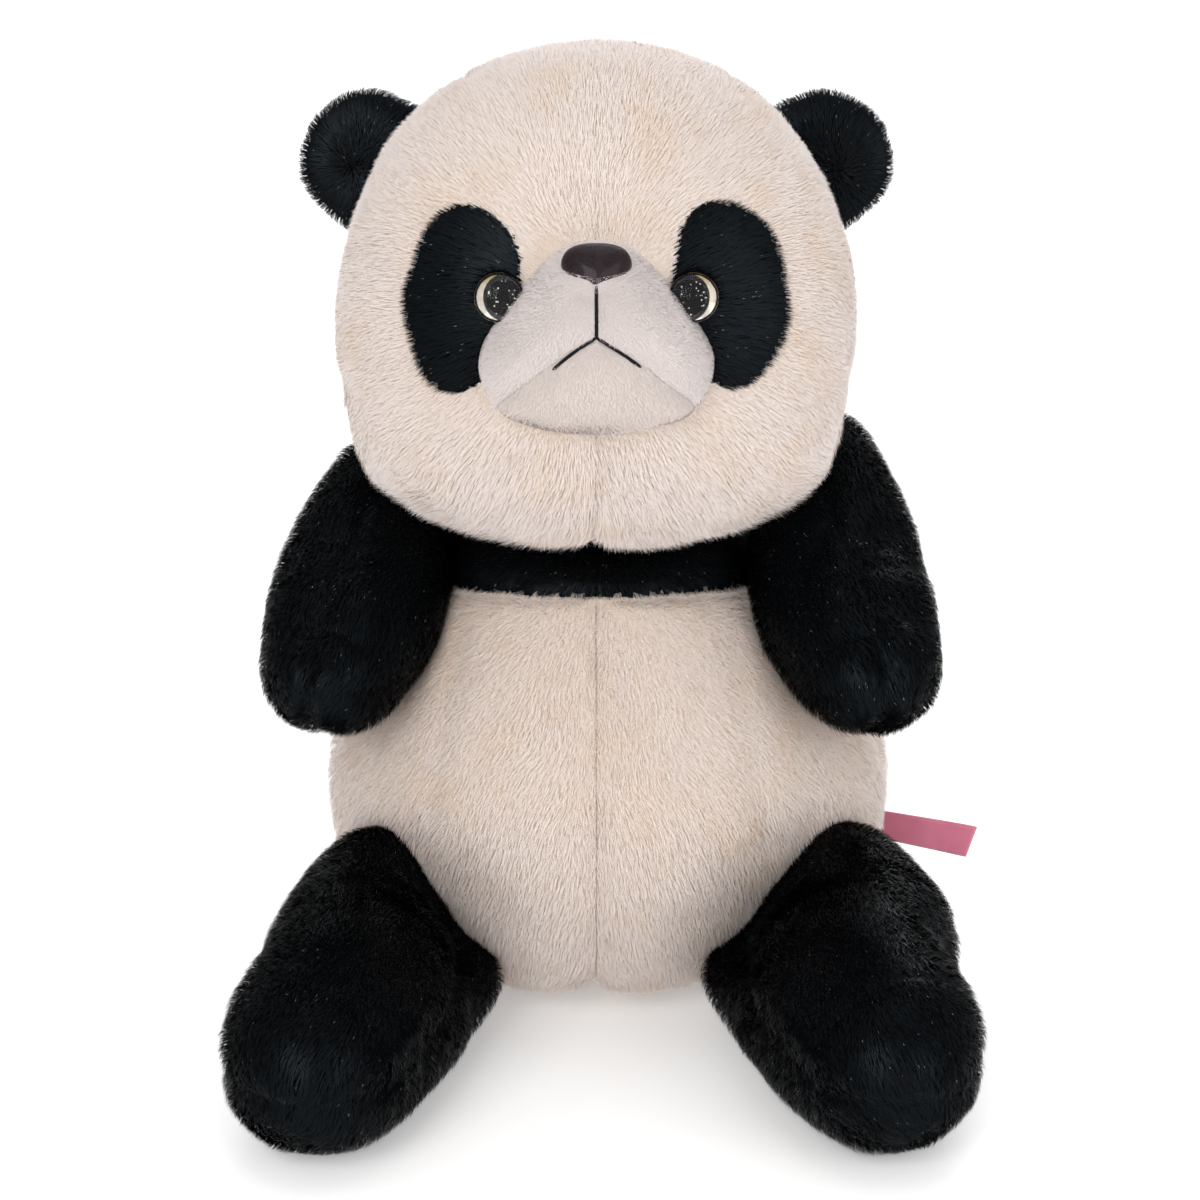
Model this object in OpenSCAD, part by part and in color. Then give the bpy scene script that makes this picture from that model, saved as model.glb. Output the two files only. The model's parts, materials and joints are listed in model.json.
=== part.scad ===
// Sitting plush panda: sewn pile-fabric panels over separate stuffed bodies.
// +Z is up, the face looks towards -Y, and the seat rests on z = 0.
// "right" in a name is the +X side, which is the right-hand side as it faces you.

/* [Body] */
// Widest radius of the pear-shaped body
torso_r = 106; // [100:1:108]
// Length of the pear along its own axis, seat cut included
torso_h = 246; // [236:1:252]
// How far the body leans back, in degrees
torso_lean = 7; // [4:1:9]
// Front-to-back place of the body's axis at floor level
torso_y = 26.4; // [26:0.1:27]
// Height, over the body's axis, of the seam under the black shoulder band
yoke_z = 172; // [168:1:176]
// How much that seam rises towards the chest, in degrees
yoke_tilt = 14; // [8:1:16]
// Thickness of the pile fabric, backing and fur pressed flat
skin_t = 4; // [3:0.5:5]

/* [Head] */
// Width of the head
head_w = 198; // [190:1:202]
// Depth and height of the head, which is round seen from the side
head_d = 190; // [184:1:194]
// Height of the head's centre above the floor
head_z = 286; // [284:1:290]
// How far the face looks up, in degrees
face_tilt = 19; // [14:1:22]
// Head centre, behind the body's axis at floor level
head_back = -2; // [-4:1:2]

/* [Face] */
// Width of the muzzle
muzzle_w = 82; // [76:1:86]
// Height of the muzzle
muzzle_h = 72; // [66:1:76]
// How far the muzzle reaches in front of the head's centre
muzzle_reach = 119; // [112:1:124]
// Width of the moulded nose
nose_w = 25; // [20:1:28]
// Diameter of a plastic safety eye
eye_d = 18; // [14:1:20]
// Distance between the two eye centres
eye_gap = 70; // [64:1:76]
// Height of a black eye patch
patch_h = 70; // [62:1:76]
// Width of a black eye patch, seen from the front
patch_w = 43; // [38:1:46]

/* [Ears] */
// Diameter of an ear
ear_d = 58; // [50:1:62]
// Thickness of an ear
ear_t = 15; // [12:1:16]

/* [Arms] */
// Radius at the sewn shoulder end
arm_root_r = 21; // [18:0.5:21.5]
// Largest radius of the arm
arm_r = 33; // [30:0.5:34]
// Radius at the rounded paw
paw_r = 25; // [22:0.5:27]

/* [Legs] */
// Radius at the sewn hip end
hip_r = 43; // [40:0.5:44]
// Radius at the rounded foot
foot_r = 39; // [36:0.5:41]

/* [Trim] */
// Width of the satin ribbon tab
ribbon_w = 14; // [10:1:18]
// Length of the ribbon tab outside the seam
ribbon_l = 38; // [24:1:39]
// Radius of the round tail
tail_r = 17; // [14:1:19]

/* [Hidden] */

LEFT = -1;
RIGHT = 1;
fill_gap = 0.4;      // between a skin and the stuffing in it
move_gap = 0.8;      // between bodies that turn against each other
big = 400;
round_fn = 96;
small_fn = 64;

cream = [0.93, 0.87, 0.80];
muzzle_cream = [0.92, 0.86, 0.83];
black_pile = [0.04, 0.045, 0.055];
nose_plum = [0.20, 0.14, 0.15];
white_fill = [0.96, 0.96, 0.95];
washer_white = [0.85, 0.85, 0.83];
ribbon_pink = [0.80, 0.44, 0.52];

torso_drop = 16;     // length of the pear cut away under the seat
pear_bias = 0.42;    // 0 is a plain ellipse, more puts the belly lower
pear_steps = 22;
head_c = [0, torso_y + head_back, head_z];
hip_c = [71, torso_y - 60, foot_r + 8.85];
foot_c = [103, torso_y - 144, foot_r + 0.35];
shoulder_c = [75, torso_y + 12, 193];
paw_c = [100, torso_y - 53, 158];
arm_bulge = 0.58;    // where along the arm it is widest
leg_lift_max = 33;   // the body is dented this far for a lifted leg
tail_c = [0, torso_y + 113, 58];
ear_angle = 31;      // of the ear's centre above the eye line
ear_y = 18;          // the ears sit behind the widest ring of the head
ear_fold_gap = 0.8;  // between the head and the rounded foot of a folding ear
ribbon_c = [106.6, torso_y + 20, 61];
ribbon_turn = -28;   // the tab slants to the front
ribbon_t = 1;

// ---------- shared shapes ----------

// Outline of half a pear, from the axis out and back
function pear_points(o) = [
    for (i = [0:pear_steps])
        let (u = i / pear_steps, r = 2 * sqrt(u * (1 - u)) * (1 - pear_bias * (u - 0.35)))
        [max(0, torso_r * 1.045 * r - (i == 0 || i == pear_steps ? 0 : o)),
         -torso_drop + o + (torso_h - 2 * o) * u]
];

// Half outline of a limb: a ball at the seam, a swell, and a rounded end
function limb_radius(s, r1, r2, r3, bulge) =
    s < bulge ? r1 + (r2 - r1) * sin(90 * s / bulge)
              : r2 + (r3 - r2) * (1 - cos(90 * (s - bulge) / (1 - bulge)));
function limb_points(r1, r2, r3, len, bulge, o) = concat(
    [for (a = [-90:15:-15]) [(r1 - o) * cos(a), (r1 - o) * sin(a)]],
    [for (i = [0:10]) [limb_radius(i / 10, r1, r2, r3, bulge) - o, len * i / 10]],
    [for (a = [15:15:90]) [(r3 - o) * cos(a), len + (r3 - o) * sin(a)]]
);
function reversed(v) = [for (i = [len(v) - 1:-1:0]) v[i]];

module mirrored(side) {
    if (side == LEFT) {
        mirror([1, 0, 0]) children();
    } else {
        children();
    }
}

// Moves a shape drawn along +Z so that it starts at a and points to b
module along(a, b) {
    d = b - a;
    translate(a) rotate([0, acos(d[2] / norm(d)), atan2(d[1], d[0])]) children();
}

module ball_cut(c, r) {
    translate(c) sphere(r, $fn = small_fn);
}

// ---------- body ----------

module pear(o) {
    intersection() {
        translate([0, torso_y, 0]) rotate([-torso_lean, 0, 0])
            rotate_extrude($fn = round_fn) polygon(pear_points(o));
        translate([-big / 2, -big / 2, o]) cube(big);
    }
}

// Room for the head, the neck plug, the limbs and the tail, g clear of them
module body_hollows(g) {
    head_ball(-g);
    translate([0, head_c[1], 150]) cylinder(r = neck_r + g, h = 60, $fn = small_fn);
    for (side = [LEFT, RIGHT]) {
        mirrored(side) {
            ball_cut(shoulder_c, arm_root_r + g);
            along(shoulder_c, paw_c) translate([0, 0, arm_len * arm_bulge])
                scale([arm_r + 1 + g, arm_r + 1 + g, arm_r * 1.8 + g]) sphere(1, $fn = small_fn);
            ball_cut(hip_c, hip_r + g);
            lifted_leg(leg_lift_max / 2)
                cylinder(r1 = hip_r + 1.5 + g, r2 = foot_r + leg_sweep + g, h = leg_len, $fn = small_fn);
        }
    }
    ball_cut(tail_c, tail_r + g);
}

module body_shell() {
    difference() {
        pear(0);
        pear(skin_t);
        body_hollows(move_gap);
    }
}

module above_yoke_seam() {
    translate([0, torso_y, yoke_z]) rotate([-yoke_tilt, 0, 0])
        translate([-big / 2, -big / 2, 0]) cube(big);
}

// One quarter of the sides: x is LEFT or RIGHT, y is -1 for front or 1 for back
module body_quarter(x, y) {
    difference() {
        translate([x > 0 ? 0 : -big, torso_y + (y > 0 ? 0 : -big), skin_t]) cube(big);
        above_yoke_seam();
    }
}

module belly_panel(side) {
    color(cream) intersection() {
        body_shell();
        body_quarter(side, -1);
    }
}
module belly_panel_left() { belly_panel(LEFT); }
module belly_panel_right() { belly_panel(RIGHT); }

module back_panel(side) {
    color(cream) intersection() {
        body_shell();
        body_quarter(side, 1);
    }
}
module back_panel_left() { back_panel(LEFT); }
module back_panel_right() { back_panel(RIGHT); }

module shoulder_yoke() {
    color(black_pile) intersection() {
        body_shell();
        above_yoke_seam();
    }
}

module seat_panel() {
    color(cream) intersection() {
        body_shell();
        translate([-big / 2, -big / 2, -1]) cube([big, big, skin_t + 1]);
    }
}

module torso_stuffing() {
    color(white_fill) difference() {
        pear(skin_t + fill_gap);
        body_hollows(move_gap + 0.5);
    }
}

// Hand-sewn stitches that close the back seam, standing on the fabric
stitch_n = 7;
module closing_stitches() {
    color(cream) for (i = [0:stitch_n - 1]) {
        z = 96 + 6 * i;
        translate([0, back_y(z) + 1.1, z]) rotate([0, 90 + 14 * (i % 2 == 0 ? 1 : -1), 0])
            cylinder(r = 0.5, h = 5, center = true, $fn = 16);
    }
}
// The back of the pear on the centre line, at height z
function back_y(z) =
    let (zl = z * cos(torso_lean) - 100 * sin(torso_lean) * 0.98,
         u = (zl + torso_drop) / torso_h,
         r = torso_r * 1.045 * 2 * sqrt(u * (1 - u)) * (1 - pear_bias * (u - 0.35)))
    torso_y + z * tan(torso_lean) + r / cos(torso_lean);

// ---------- neck ----------

neck_r = 26;
module neck_plug() {
    color(white_fill) difference() {
        translate([0, head_c[1], 151]) cylinder(r = neck_r, h = 50, $fn = small_fn);
        head_ball(-move_gap);
    }
}

// ---------- head ----------

module head_frame() {
    translate(head_c) rotate([-face_tilt, 0, 0]) children();
}

// The head's egg, o inside its surface, in place
module head_ball(o) {
    translate(head_c) head_egg(o);
}
module head_egg(o) {
    scale([(head_w / 2 - o) / (head_d / 2 - o), 1, 1]) sphere(head_d / 2 - o, $fn = round_fn);
}

module head_shell() {
    difference() {
        head_egg(0);
        head_egg(skin_t);
    }
}

patch_x = 48;        // from the face's centre line to the middle of a patch
patch_lean = 6;      // the patches lean together at the top
// An upright oval bar through one eye patch, grown by g
module patch_bar(side, g) {
    mirrored(side) translate([patch_x, -big / 2, 0]) rotate([0, -patch_lean, 0])
        scale([patch_w / 2 + g, 1, patch_h / 2 + g])
            rotate([-90, 0, 0]) cylinder(r = 1, h = big / 2, $fn = round_fn);
}

// Holes through the fabric for the shanks of the eyes and the nose
shank_r = 2.4;
module eye_axis(side) {
    mirrored(side) translate([eye_gap / 2, eye_face_y, 0.5]) rotate([90, 0, 0]) children();
}
eye_face_y = -head_d / 2 * sqrt(1 - pow(eye_gap / head_w, 2)) - 1.5;
module shank_holes() {
    for (side = [LEFT, RIGHT]) {
        eye_axis(side) translate([0, 0, -20]) cylinder(r = shank_r + 0.2, h = 30, $fn = 32);
    }
}

module face_panel(side) {
    color(cream) head_frame() intersection() {
        difference() {
            head_shell();
            patch_bar(side, 0.15);
            shank_holes();
        }
        translate([side > 0 ? 0 : -big, -big, -big / 2]) cube(big);
    }
}
module face_panel_left() { face_panel(LEFT); }
module face_panel_right() { face_panel(RIGHT); }

module head_back_panel() {
    color(cream) head_frame() intersection() {
        head_shell();
        translate([-big / 2, 0, -big / 2]) cube(big);
    }
}

module eye_patch(side) {
    color(black_pile) head_frame() intersection() {
        difference() {
            head_shell();
            shank_holes();
        }
        patch_bar(side, 0);
    }
}
module eye_patch_left() { eye_patch(LEFT); }
module eye_patch_right() { eye_patch(RIGHT); }

module head_stuffing() {
    color(white_fill) head_frame() difference() {
        head_egg(skin_t + fill_gap);
        for (side = [LEFT, RIGHT]) {
            eye_axis(side) translate([0, 0, -24]) cylinder(r = eye_washer_r + 0.4, h = 24, $fn = 32);
        }
    }
}

// ---------- muzzle ----------

muzzle_z = -13;      // muzzle centre below the eye line
muzzle_cy = -84;     // and in front of the head's centre
chin_top = -24;      // top of the chin seam below the eye line
muzzle_skin_t = 2.5; // the muzzle fabric is shorter and thinner
// pole_turn swings the ball's poles, which keeps them off a curved cut
module muzzle_egg(o, pole_turn = 0) {
    translate([0, muzzle_cy, muzzle_z])
        scale([muzzle_w / 2 - o, muzzle_reach + muzzle_cy - o, muzzle_h / 2 - o])
            rotate([0, pole_turn, 0]) sphere(1, $fn = round_fn);
}

module muzzle_shell(pole_turn) {
    difference() {
        muzzle_egg(0, pole_turn);
        muzzle_egg(muzzle_skin_t, pole_turn);
        head_egg(-0.2);
    }
}

// Everything under the curved seam that runs from the mouth to both cheeks
module chin_region() {
    translate([0, 0, chin_top - 52]) rotate([90, 0, 0]) cylinder(r = 52, h = big / 2, $fn = round_fn);
}

module muzzle_panel() {
    color(muzzle_cream) head_frame() difference() {
        muzzle_shell(0);
        chin_region();
        nose_hole();
        for (side = [LEFT, RIGHT]) {
            eye_axis(side) translate([0, 0, -9]) cylinder(r = eye_d / 2 + 0.4, h = 40, $fn = 48);
        }
    }
}

module chin_panel() {
    color(muzzle_cream) head_frame() intersection() {
        muzzle_shell(90);
        chin_region();
    }
}

module muzzle_stuffing() {
    color(white_fill) head_frame() difference() {
        muzzle_egg(muzzle_skin_t + fill_gap);
        head_egg(-0.6);
        nose_axis() translate([0, 0, -22]) cylinder(r = 7.4, h = 40, $fn = 32);
        for (side = [LEFT, RIGHT]) {
            eye_axis(side) translate([0, 0, -9]) cylinder(r = eye_d / 2 + 1, h = 40, $fn = 48);
        }
    }
}

// Depth of the muzzle's surface at x and z, o outside it
function muzzle_front(x, z, o) =
    muzzle_cy - (muzzle_reach + muzzle_cy + o)
        * sqrt(1 - pow(x / (muzzle_w / 2 + o), 2) - pow((z - muzzle_z) / (muzzle_h / 2 + o), 2));

// The mouth: one upright stitch line and two that turn down
mouth_top = [0, -3];
mouth_fork = [0, -15];
mouth_corner = [15, -26];
mouth_t = 1;         // height of the stitches over the fabric
mouth_stitch_w = 1.6;
module stitch_bar(p, q) {
    d = q - p;
    translate([p[0], muzzle_cy - 5, p[1]]) rotate([0, -atan2(d[1], d[0]), 0])
        translate([-mouth_stitch_w / 2, -big / 2, -mouth_stitch_w / 2])
            cube([norm(d) + mouth_stitch_w, big / 2, mouth_stitch_w]);
}
module mouth_thread() {
    color(black_pile) head_frame() intersection() {
        difference() {
            muzzle_egg(-0.1 - mouth_t);
            muzzle_egg(-0.1);
        }
        union() {
            stitch_bar(mouth_top, mouth_fork);
            stitch_bar(mouth_fork, mouth_corner);
            stitch_bar(mouth_fork, [-mouth_corner[0], mouth_corner[1]]);
        }
    }
}

// ---------- nose and eyes ----------

nose_z = 10.5;
nose_lean = -24;     // the nose faces a little upwards
module nose_axis() {
    translate([0, muzzle_front(0, nose_z, 0), nose_z]) rotate([90 + nose_lean, 0, 0]) children();
}
module nose_hole() {
    nose_axis() translate([0, 0, -20]) cylinder(r = shank_r + 0.2, h = 30, $fn = 32);
}
module nose() {
    color(nose_plum) head_frame() {
        difference() {
            nose_axis() translate([0, 0, 2.2]) scale([nose_w / 2, 8, 3.6]) sphere(1, $fn = 48);
            muzzle_egg(-0.1);
        }
        nose_axis() translate([0, 0, -11]) cylinder(r = shank_r, h = 14.5, $fn = 32);
    }
}
module nose_washer() {
    color(washer_white) head_frame() nose_axis()
        translate([0, 0, -8]) ring_disc(7, shank_r + 0.05, 1.4);
}

module ring_disc(r, hole_r, t) {
    rotate_extrude($fn = 48) translate([hole_r, 0]) square([r - hole_r, t]);
}

eye_washer_r = 7;
// The disc behind the lens, with its shank; the patch fabric lies under it
module eye_base(side) {
    color([0.92, 0.88, 0.78]) head_frame() eye_axis(side) {
        translate([0, 0, 2]) cylinder(r = eye_d / 2, h = 1.5, $fn = 48);
        translate([0, 0, -14]) cylinder(r = shank_r, h = 16.1, $fn = 32);
    }
}
module eye_base_left() { eye_base(LEFT); }
module eye_base_right() { eye_base(RIGHT); }

// The dark glitter pupil sits towards the nose
module eye_pupil(side) {
    color([0.03, 0.03, 0.04]) head_frame() eye_axis(side)
        translate([-1.6, 0, 3.5]) cylinder(r = eye_d / 2 - 2.6, h = 0.4, $fn = 48);
}
module eye_pupil_left() { eye_pupil(LEFT); }
module eye_pupil_right() { eye_pupil(RIGHT); }

module eye_lens(side) {
    color([0.9, 0.92, 0.95, 0.4]) head_frame() eye_axis(side) difference() {
        translate([0, 0, 3.5]) scale([1, 1, 0.5]) sphere(eye_d / 2, $fn = 48);
        translate([-big / 2, -big / 2, 3.5 - big]) cube(big);
        translate([-1.6, 0, 3]) cylinder(r = eye_d / 2 - 2.5, h = 0.95, $fn = 48);
    }
}
module eye_lens_left() { eye_lens(LEFT); }
module eye_lens_right() { eye_lens(RIGHT); }

module eye_washer(side) {
    color(washer_white) head_frame() eye_axis(side)
        translate([0, 0, -12]) ring_disc(eye_washer_r, shank_r + 0.05, 1.4);
}
module eye_washer_left() { eye_washer(LEFT); }
module eye_washer_right() { eye_washer(RIGHT); }

// ---------- ears ----------

// Local to the ear: x runs out from the head, z along the fold line
ear_root = head_w / 2 - 1.4 + ear_t / 2 + ear_fold_gap;
ear_centre = head_w / 2 + 2.5;
module ear_frame(side) {
    head_frame() mirrored(side) translate([0, ear_y, 0]) rotate([0, -ear_angle, 0])
        translate([ear_root, 0, 0]) children();
}
module ear_disc() {
    intersection() {
        translate([ear_centre - ear_root, 0, 0]) scale([ear_d / 2, ear_t / 2, ear_d / 2])
            sphere(1, $fn = round_fn);
        union() {
            translate([0, -big / 2, -big / 2]) cube(big);
            translate([0, 0, -big / 2]) cylinder(r = ear_t / 2, h = big, $fn = small_fn);
        }
    }
}
module ear_half(side, y) {
    color(black_pile) ear_frame(side) intersection() {
        ear_disc();
        translate([-big / 2, y > 0 ? 0 : -big, -big / 2]) cube(big);
    }
}
module ear_front_left() { ear_half(LEFT, -1); }
module ear_back_left() { ear_half(LEFT, 1); }
module ear_front_right() { ear_half(RIGHT, -1); }
module ear_back_right() { ear_half(RIGHT, 1); }

// ---------- arms ----------

arm_len = norm(paw_c - shoulder_c);
module arm_envelope(o) {
    along(shoulder_c, paw_c) rotate_extrude($fn = small_fn)
        polygon(limb_points(arm_root_r, arm_r, paw_r, arm_len, arm_bulge, o));
}
// Half of the skin, as one sewn panel; turn picks the half
module limb_half_skin(r1, r2, r3, len, bulge, turn) {
    rotate([0, 0, turn]) rotate_extrude(angle = 180, $fn = small_fn)
        polygon(concat(limb_points(r1, r2, r3, len, bulge, 0),
                       reversed(limb_points(r1, r2, r3, len, bulge, skin_t))));
}
module arm_panel(side, turn) {
    color(black_pile) mirrored(side) along(shoulder_c, paw_c)
        limb_half_skin(arm_root_r, arm_r, paw_r, arm_len, arm_bulge, turn);
}
module arm_outer_panel_left() { arm_panel(LEFT, 0); }
module arm_inner_panel_left() { arm_panel(LEFT, 180); }
module arm_outer_panel_right() { arm_panel(RIGHT, 0); }
module arm_inner_panel_right() { arm_panel(RIGHT, 180); }

module arm_stuffing(side) {
    color(white_fill) mirrored(side) arm_envelope(skin_t + fill_gap);
}
module arm_stuffing_left() { arm_stuffing(LEFT); }
module arm_stuffing_right() { arm_stuffing(RIGHT); }

// ---------- legs ----------

leg_len = norm(foot_c - hip_c);
leg_sweep = 1.5 + leg_len * sin(leg_lift_max / 2);
leg_bulge = 0.35;
leg_r = hip_r + 0.6;
module leg_shape(o) {
    rotate_extrude($fn = small_fn)
        polygon(limb_points(hip_r, leg_r, foot_r, leg_len, leg_bulge, o));
}
// Moves a shape drawn along +Z to the leg, lifted by an angle about the hip's fold line
module lifted_leg(lift) {
    flat = [foot_c[0] - hip_c[0], foot_c[1] - hip_c[1], 0];
    translate(hip_c) rotate(a = lift, v = cross(flat, [0, 0, 1]))
        along([0, 0, 0], foot_c - hip_c) children();
}
module leg_panel(side, turn) {
    color(black_pile) mirrored(side) along(hip_c, foot_c)
        limb_half_skin(hip_r, leg_r, foot_r, leg_len, leg_bulge, turn);
}
module leg_top_panel_left() { leg_panel(LEFT, 90); }
module leg_bottom_panel_left() { leg_panel(LEFT, 270); }
module leg_top_panel_right() { leg_panel(RIGHT, 90); }
module leg_bottom_panel_right() { leg_panel(RIGHT, 270); }

module leg_stuffing(side) {
    color(white_fill) mirrored(side) along(hip_c, foot_c) leg_shape(skin_t + fill_gap);
}
module leg_stuffing_left() { leg_stuffing(LEFT); }
module leg_stuffing_right() { leg_stuffing(RIGHT); }

// ---------- tail and ribbon ----------

module tail_skin() {
    color(cream) difference() {
        ball_cut(tail_c, tail_r);
        ball_cut(tail_c, tail_r - 3);
    }
}
module tail_stuffing() {
    color(white_fill) ball_cut(tail_c, tail_r - 3 - fill_gap);
}

// A folded satin tab, its raw ends in the side seam
module side_ribbon() {
    color(ribbon_pink) translate(ribbon_c) rotate([0, 0, ribbon_turn])
        translate([0, -ribbon_t / 2, -ribbon_w / 2]) cube([ribbon_l, ribbon_t, ribbon_w]);
}

// ---------- assembly ----------

belly_panel_left();
belly_panel_right();
back_panel_left();
back_panel_right();
shoulder_yoke();
seat_panel();
torso_stuffing();
closing_stitches();
neck_plug();
face_panel_left();
face_panel_right();
head_back_panel();
head_stuffing();
muzzle_panel();
chin_panel();
muzzle_stuffing();
mouth_thread();
nose();
nose_washer();
eye_patch_left();
eye_patch_right();
eye_base_left();
eye_base_right();
eye_pupil_left();
eye_pupil_right();
eye_lens_left();
eye_lens_right();
eye_washer_left();
eye_washer_right();
ear_front_left();
ear_back_left();
ear_front_right();
ear_back_right();
arm_outer_panel_left();
arm_inner_panel_left();
arm_stuffing_left();
arm_outer_panel_right();
arm_inner_panel_right();
arm_stuffing_right();
leg_top_panel_left();
leg_bottom_panel_left();
leg_stuffing_left();
leg_top_panel_right();
leg_bottom_panel_right();
leg_stuffing_right();
tail_skin();
tail_stuffing();
side_ribbon();
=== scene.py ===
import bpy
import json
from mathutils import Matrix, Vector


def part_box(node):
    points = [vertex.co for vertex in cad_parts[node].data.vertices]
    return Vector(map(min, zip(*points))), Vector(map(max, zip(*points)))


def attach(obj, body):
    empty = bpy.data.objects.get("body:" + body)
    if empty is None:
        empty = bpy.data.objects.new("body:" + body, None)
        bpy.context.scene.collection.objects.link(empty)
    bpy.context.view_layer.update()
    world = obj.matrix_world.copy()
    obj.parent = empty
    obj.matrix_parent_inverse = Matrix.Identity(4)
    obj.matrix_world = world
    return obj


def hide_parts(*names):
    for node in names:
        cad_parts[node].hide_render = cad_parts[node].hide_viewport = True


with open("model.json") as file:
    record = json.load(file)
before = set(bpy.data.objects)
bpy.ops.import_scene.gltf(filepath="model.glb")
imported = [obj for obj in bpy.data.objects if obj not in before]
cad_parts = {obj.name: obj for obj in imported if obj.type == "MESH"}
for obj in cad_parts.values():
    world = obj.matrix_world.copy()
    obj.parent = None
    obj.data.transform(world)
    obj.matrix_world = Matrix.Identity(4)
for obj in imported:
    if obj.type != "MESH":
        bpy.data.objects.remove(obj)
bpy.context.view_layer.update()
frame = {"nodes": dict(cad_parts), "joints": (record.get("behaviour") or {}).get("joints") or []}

import json
import math

import bmesh
import bpy
import numpy as np
from mathutils import Vector
from mathutils.bvhtree import BVHTree
from mathutils.kdtree import KDTree

MM = 0.001
SIDES = (("left", -1), ("right", 1))
scene = bpy.context.scene
joints = {j["name"]: np.array(j["pos_m"]) for j in frame["joints"]}
FUR = 1.0

# ---------- the frame in numbers ----------

HEAD_C = joints["head_turn"]
FACE_TILT = math.radians(19)
FACE = np.array([[1, 0, 0],
                 [0, math.cos(FACE_TILT), math.sin(FACE_TILT)],
                 [0, -math.sin(FACE_TILT), math.cos(FACE_TILT)]])
TORSO_Y = joints["arm_spread_right"][1] - 12 * MM
YOKE_Z, YOKE_TILT = 172 * MM, math.radians(14)


def middle_of(node):
    """The middle of a CAD node's box."""
    return sum(np.array(corner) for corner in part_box(node)) / 2


def face_local(p):
    """Points in the face's own frame: x to the right, -y out of the face, z up, in metres."""
    return (np.asarray(p) - HEAD_C) @ FACE


def face_world(p):
    """The way back from face_local to the frame."""
    return np.asarray(p) @ FACE.T + HEAD_C


# ---------- mesh helpers ----------

def arrays(me):
    """A mesh's points, point normals and triangles."""
    n = len(me.vertices)
    co, no = np.empty(n * 3, np.float32), np.empty(n * 3, np.float32)
    me.vertices.foreach_get("co", co)
    me.vertex_normals.foreach_get("vector", no)
    me.calc_loop_triangles()
    tri = np.empty(len(me.loop_triangles) * 3, np.int32)
    me.loop_triangles.foreach_get("vertices", tri)
    return co.reshape(-1, 3).astype(float), no.reshape(-1, 3).astype(float), tri.reshape(-1, 3)


def move_points(me, co):
    me.vertices.foreach_set("co", np.ascontiguousarray(co, np.float32).ravel())
    me.update()


def new_object(name, me):
    ob = bpy.data.objects.new(name, me)
    scene.collection.objects.link(ob)
    return ob


def mesh_of(name, verts, faces, smooth=True):
    me = bpy.data.meshes.new(name)
    me.from_pydata(np.asarray(verts).tolist(), [], [list(map(int, f)) for f in faces])
    if smooth:
        me.polygons.foreach_set("use_smooth", [True] * len(me.polygons))
    me.update()
    return me


def applied(ob):
    """Turns what an object's modifiers make of it into its own mesh."""
    dg = bpy.context.evaluated_depsgraph_get()
    me = bpy.data.meshes.new_from_object(ob.evaluated_get(dg))
    old = ob.data
    ob.modifiers.clear()
    ob.data = me
    bpy.data.meshes.remove(old)
    return ob


def modified(ob, kind, **settings):
    m = ob.modifiers.new(kind, kind)
    for key, value in settings.items():
        setattr(m, key, value)
    return applied(ob)


def welded(me, distance, outward=False):
    """Joins points that meet, and turns the faces outward where that is asked for."""
    bm = bmesh.new()
    bm.from_mesh(me)
    bmesh.ops.remove_doubles(bm, verts=bm.verts, dist=distance)
    if outward:
        bmesh.ops.recalc_face_normals(bm, faces=bm.faces)
    bm.to_mesh(me)
    bm.free()


def keep_largest(me):
    """Keeps the island with the most points: the others are the walls of inner hollows."""
    bm = bmesh.new()
    bm.from_mesh(me)
    left, islands = set(bm.verts), []
    while left:
        stack, island = [left.pop()], []
        while stack:
            v = stack.pop()
            island.append(v)
            for e in v.link_edges:
                w = e.other_vert(v)
                if w in left:
                    left.discard(w)
                    stack.append(w)
        islands.append(island)
    islands.sort(key=len)
    bmesh.ops.delete(bm, geom=[v for island in islands[:-1] for v in island], context="VERTS")
    bm.to_mesh(me)
    bm.free()


def noise(p, cell, seed):
    """Smooth noise from -1 to 1 at each point, with cells of that size in metres."""
    q = np.asarray(p) / cell + 1000
    i = np.floor(q).astype(np.int64)
    f = q - i
    f = f * f * (3 - 2 * f)
    total = np.zeros(len(q))
    for corner in range(8):
        d = np.array([corner & 1, corner >> 1 & 1, corner >> 2 & 1])
        w = np.prod(np.where(d, f, 1 - f), axis=1)
        j = i + d
        h = (j[:, 0] * 73856093) ^ (j[:, 1] * 19349663) ^ (j[:, 2] * 83492791) ^ (seed * 7919 + 17)
        h = (h ^ (h >> 13)) * 1274126177 & 0xFFFFFFFF
        total += w * ((h ^ (h >> 15)) & 0xFFFF) / 65535
    return total * 2 - 1


def unit(v):
    return v / np.maximum(np.linalg.norm(v, axis=-1, keepdims=True), 1e-12)


def ramp(x, low, high):
    t = np.clip((x - low) / (high - low), 0, 1)
    return t * t * (3 - 2 * t)


# ---------- materials ----------

def material(name, color, roughness, **sockets):
    mat = bpy.data.materials.new(name)
    mat.use_nodes = True
    shader = mat.node_tree.nodes["Principled BSDF"]
    shader.inputs["Base Color"].default_value = (*color, 1)
    shader.inputs["Roughness"].default_value = roughness
    for key, value in sockets.items():
        shader.inputs[key.replace("_", " ")].default_value = value
    return mat


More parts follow.
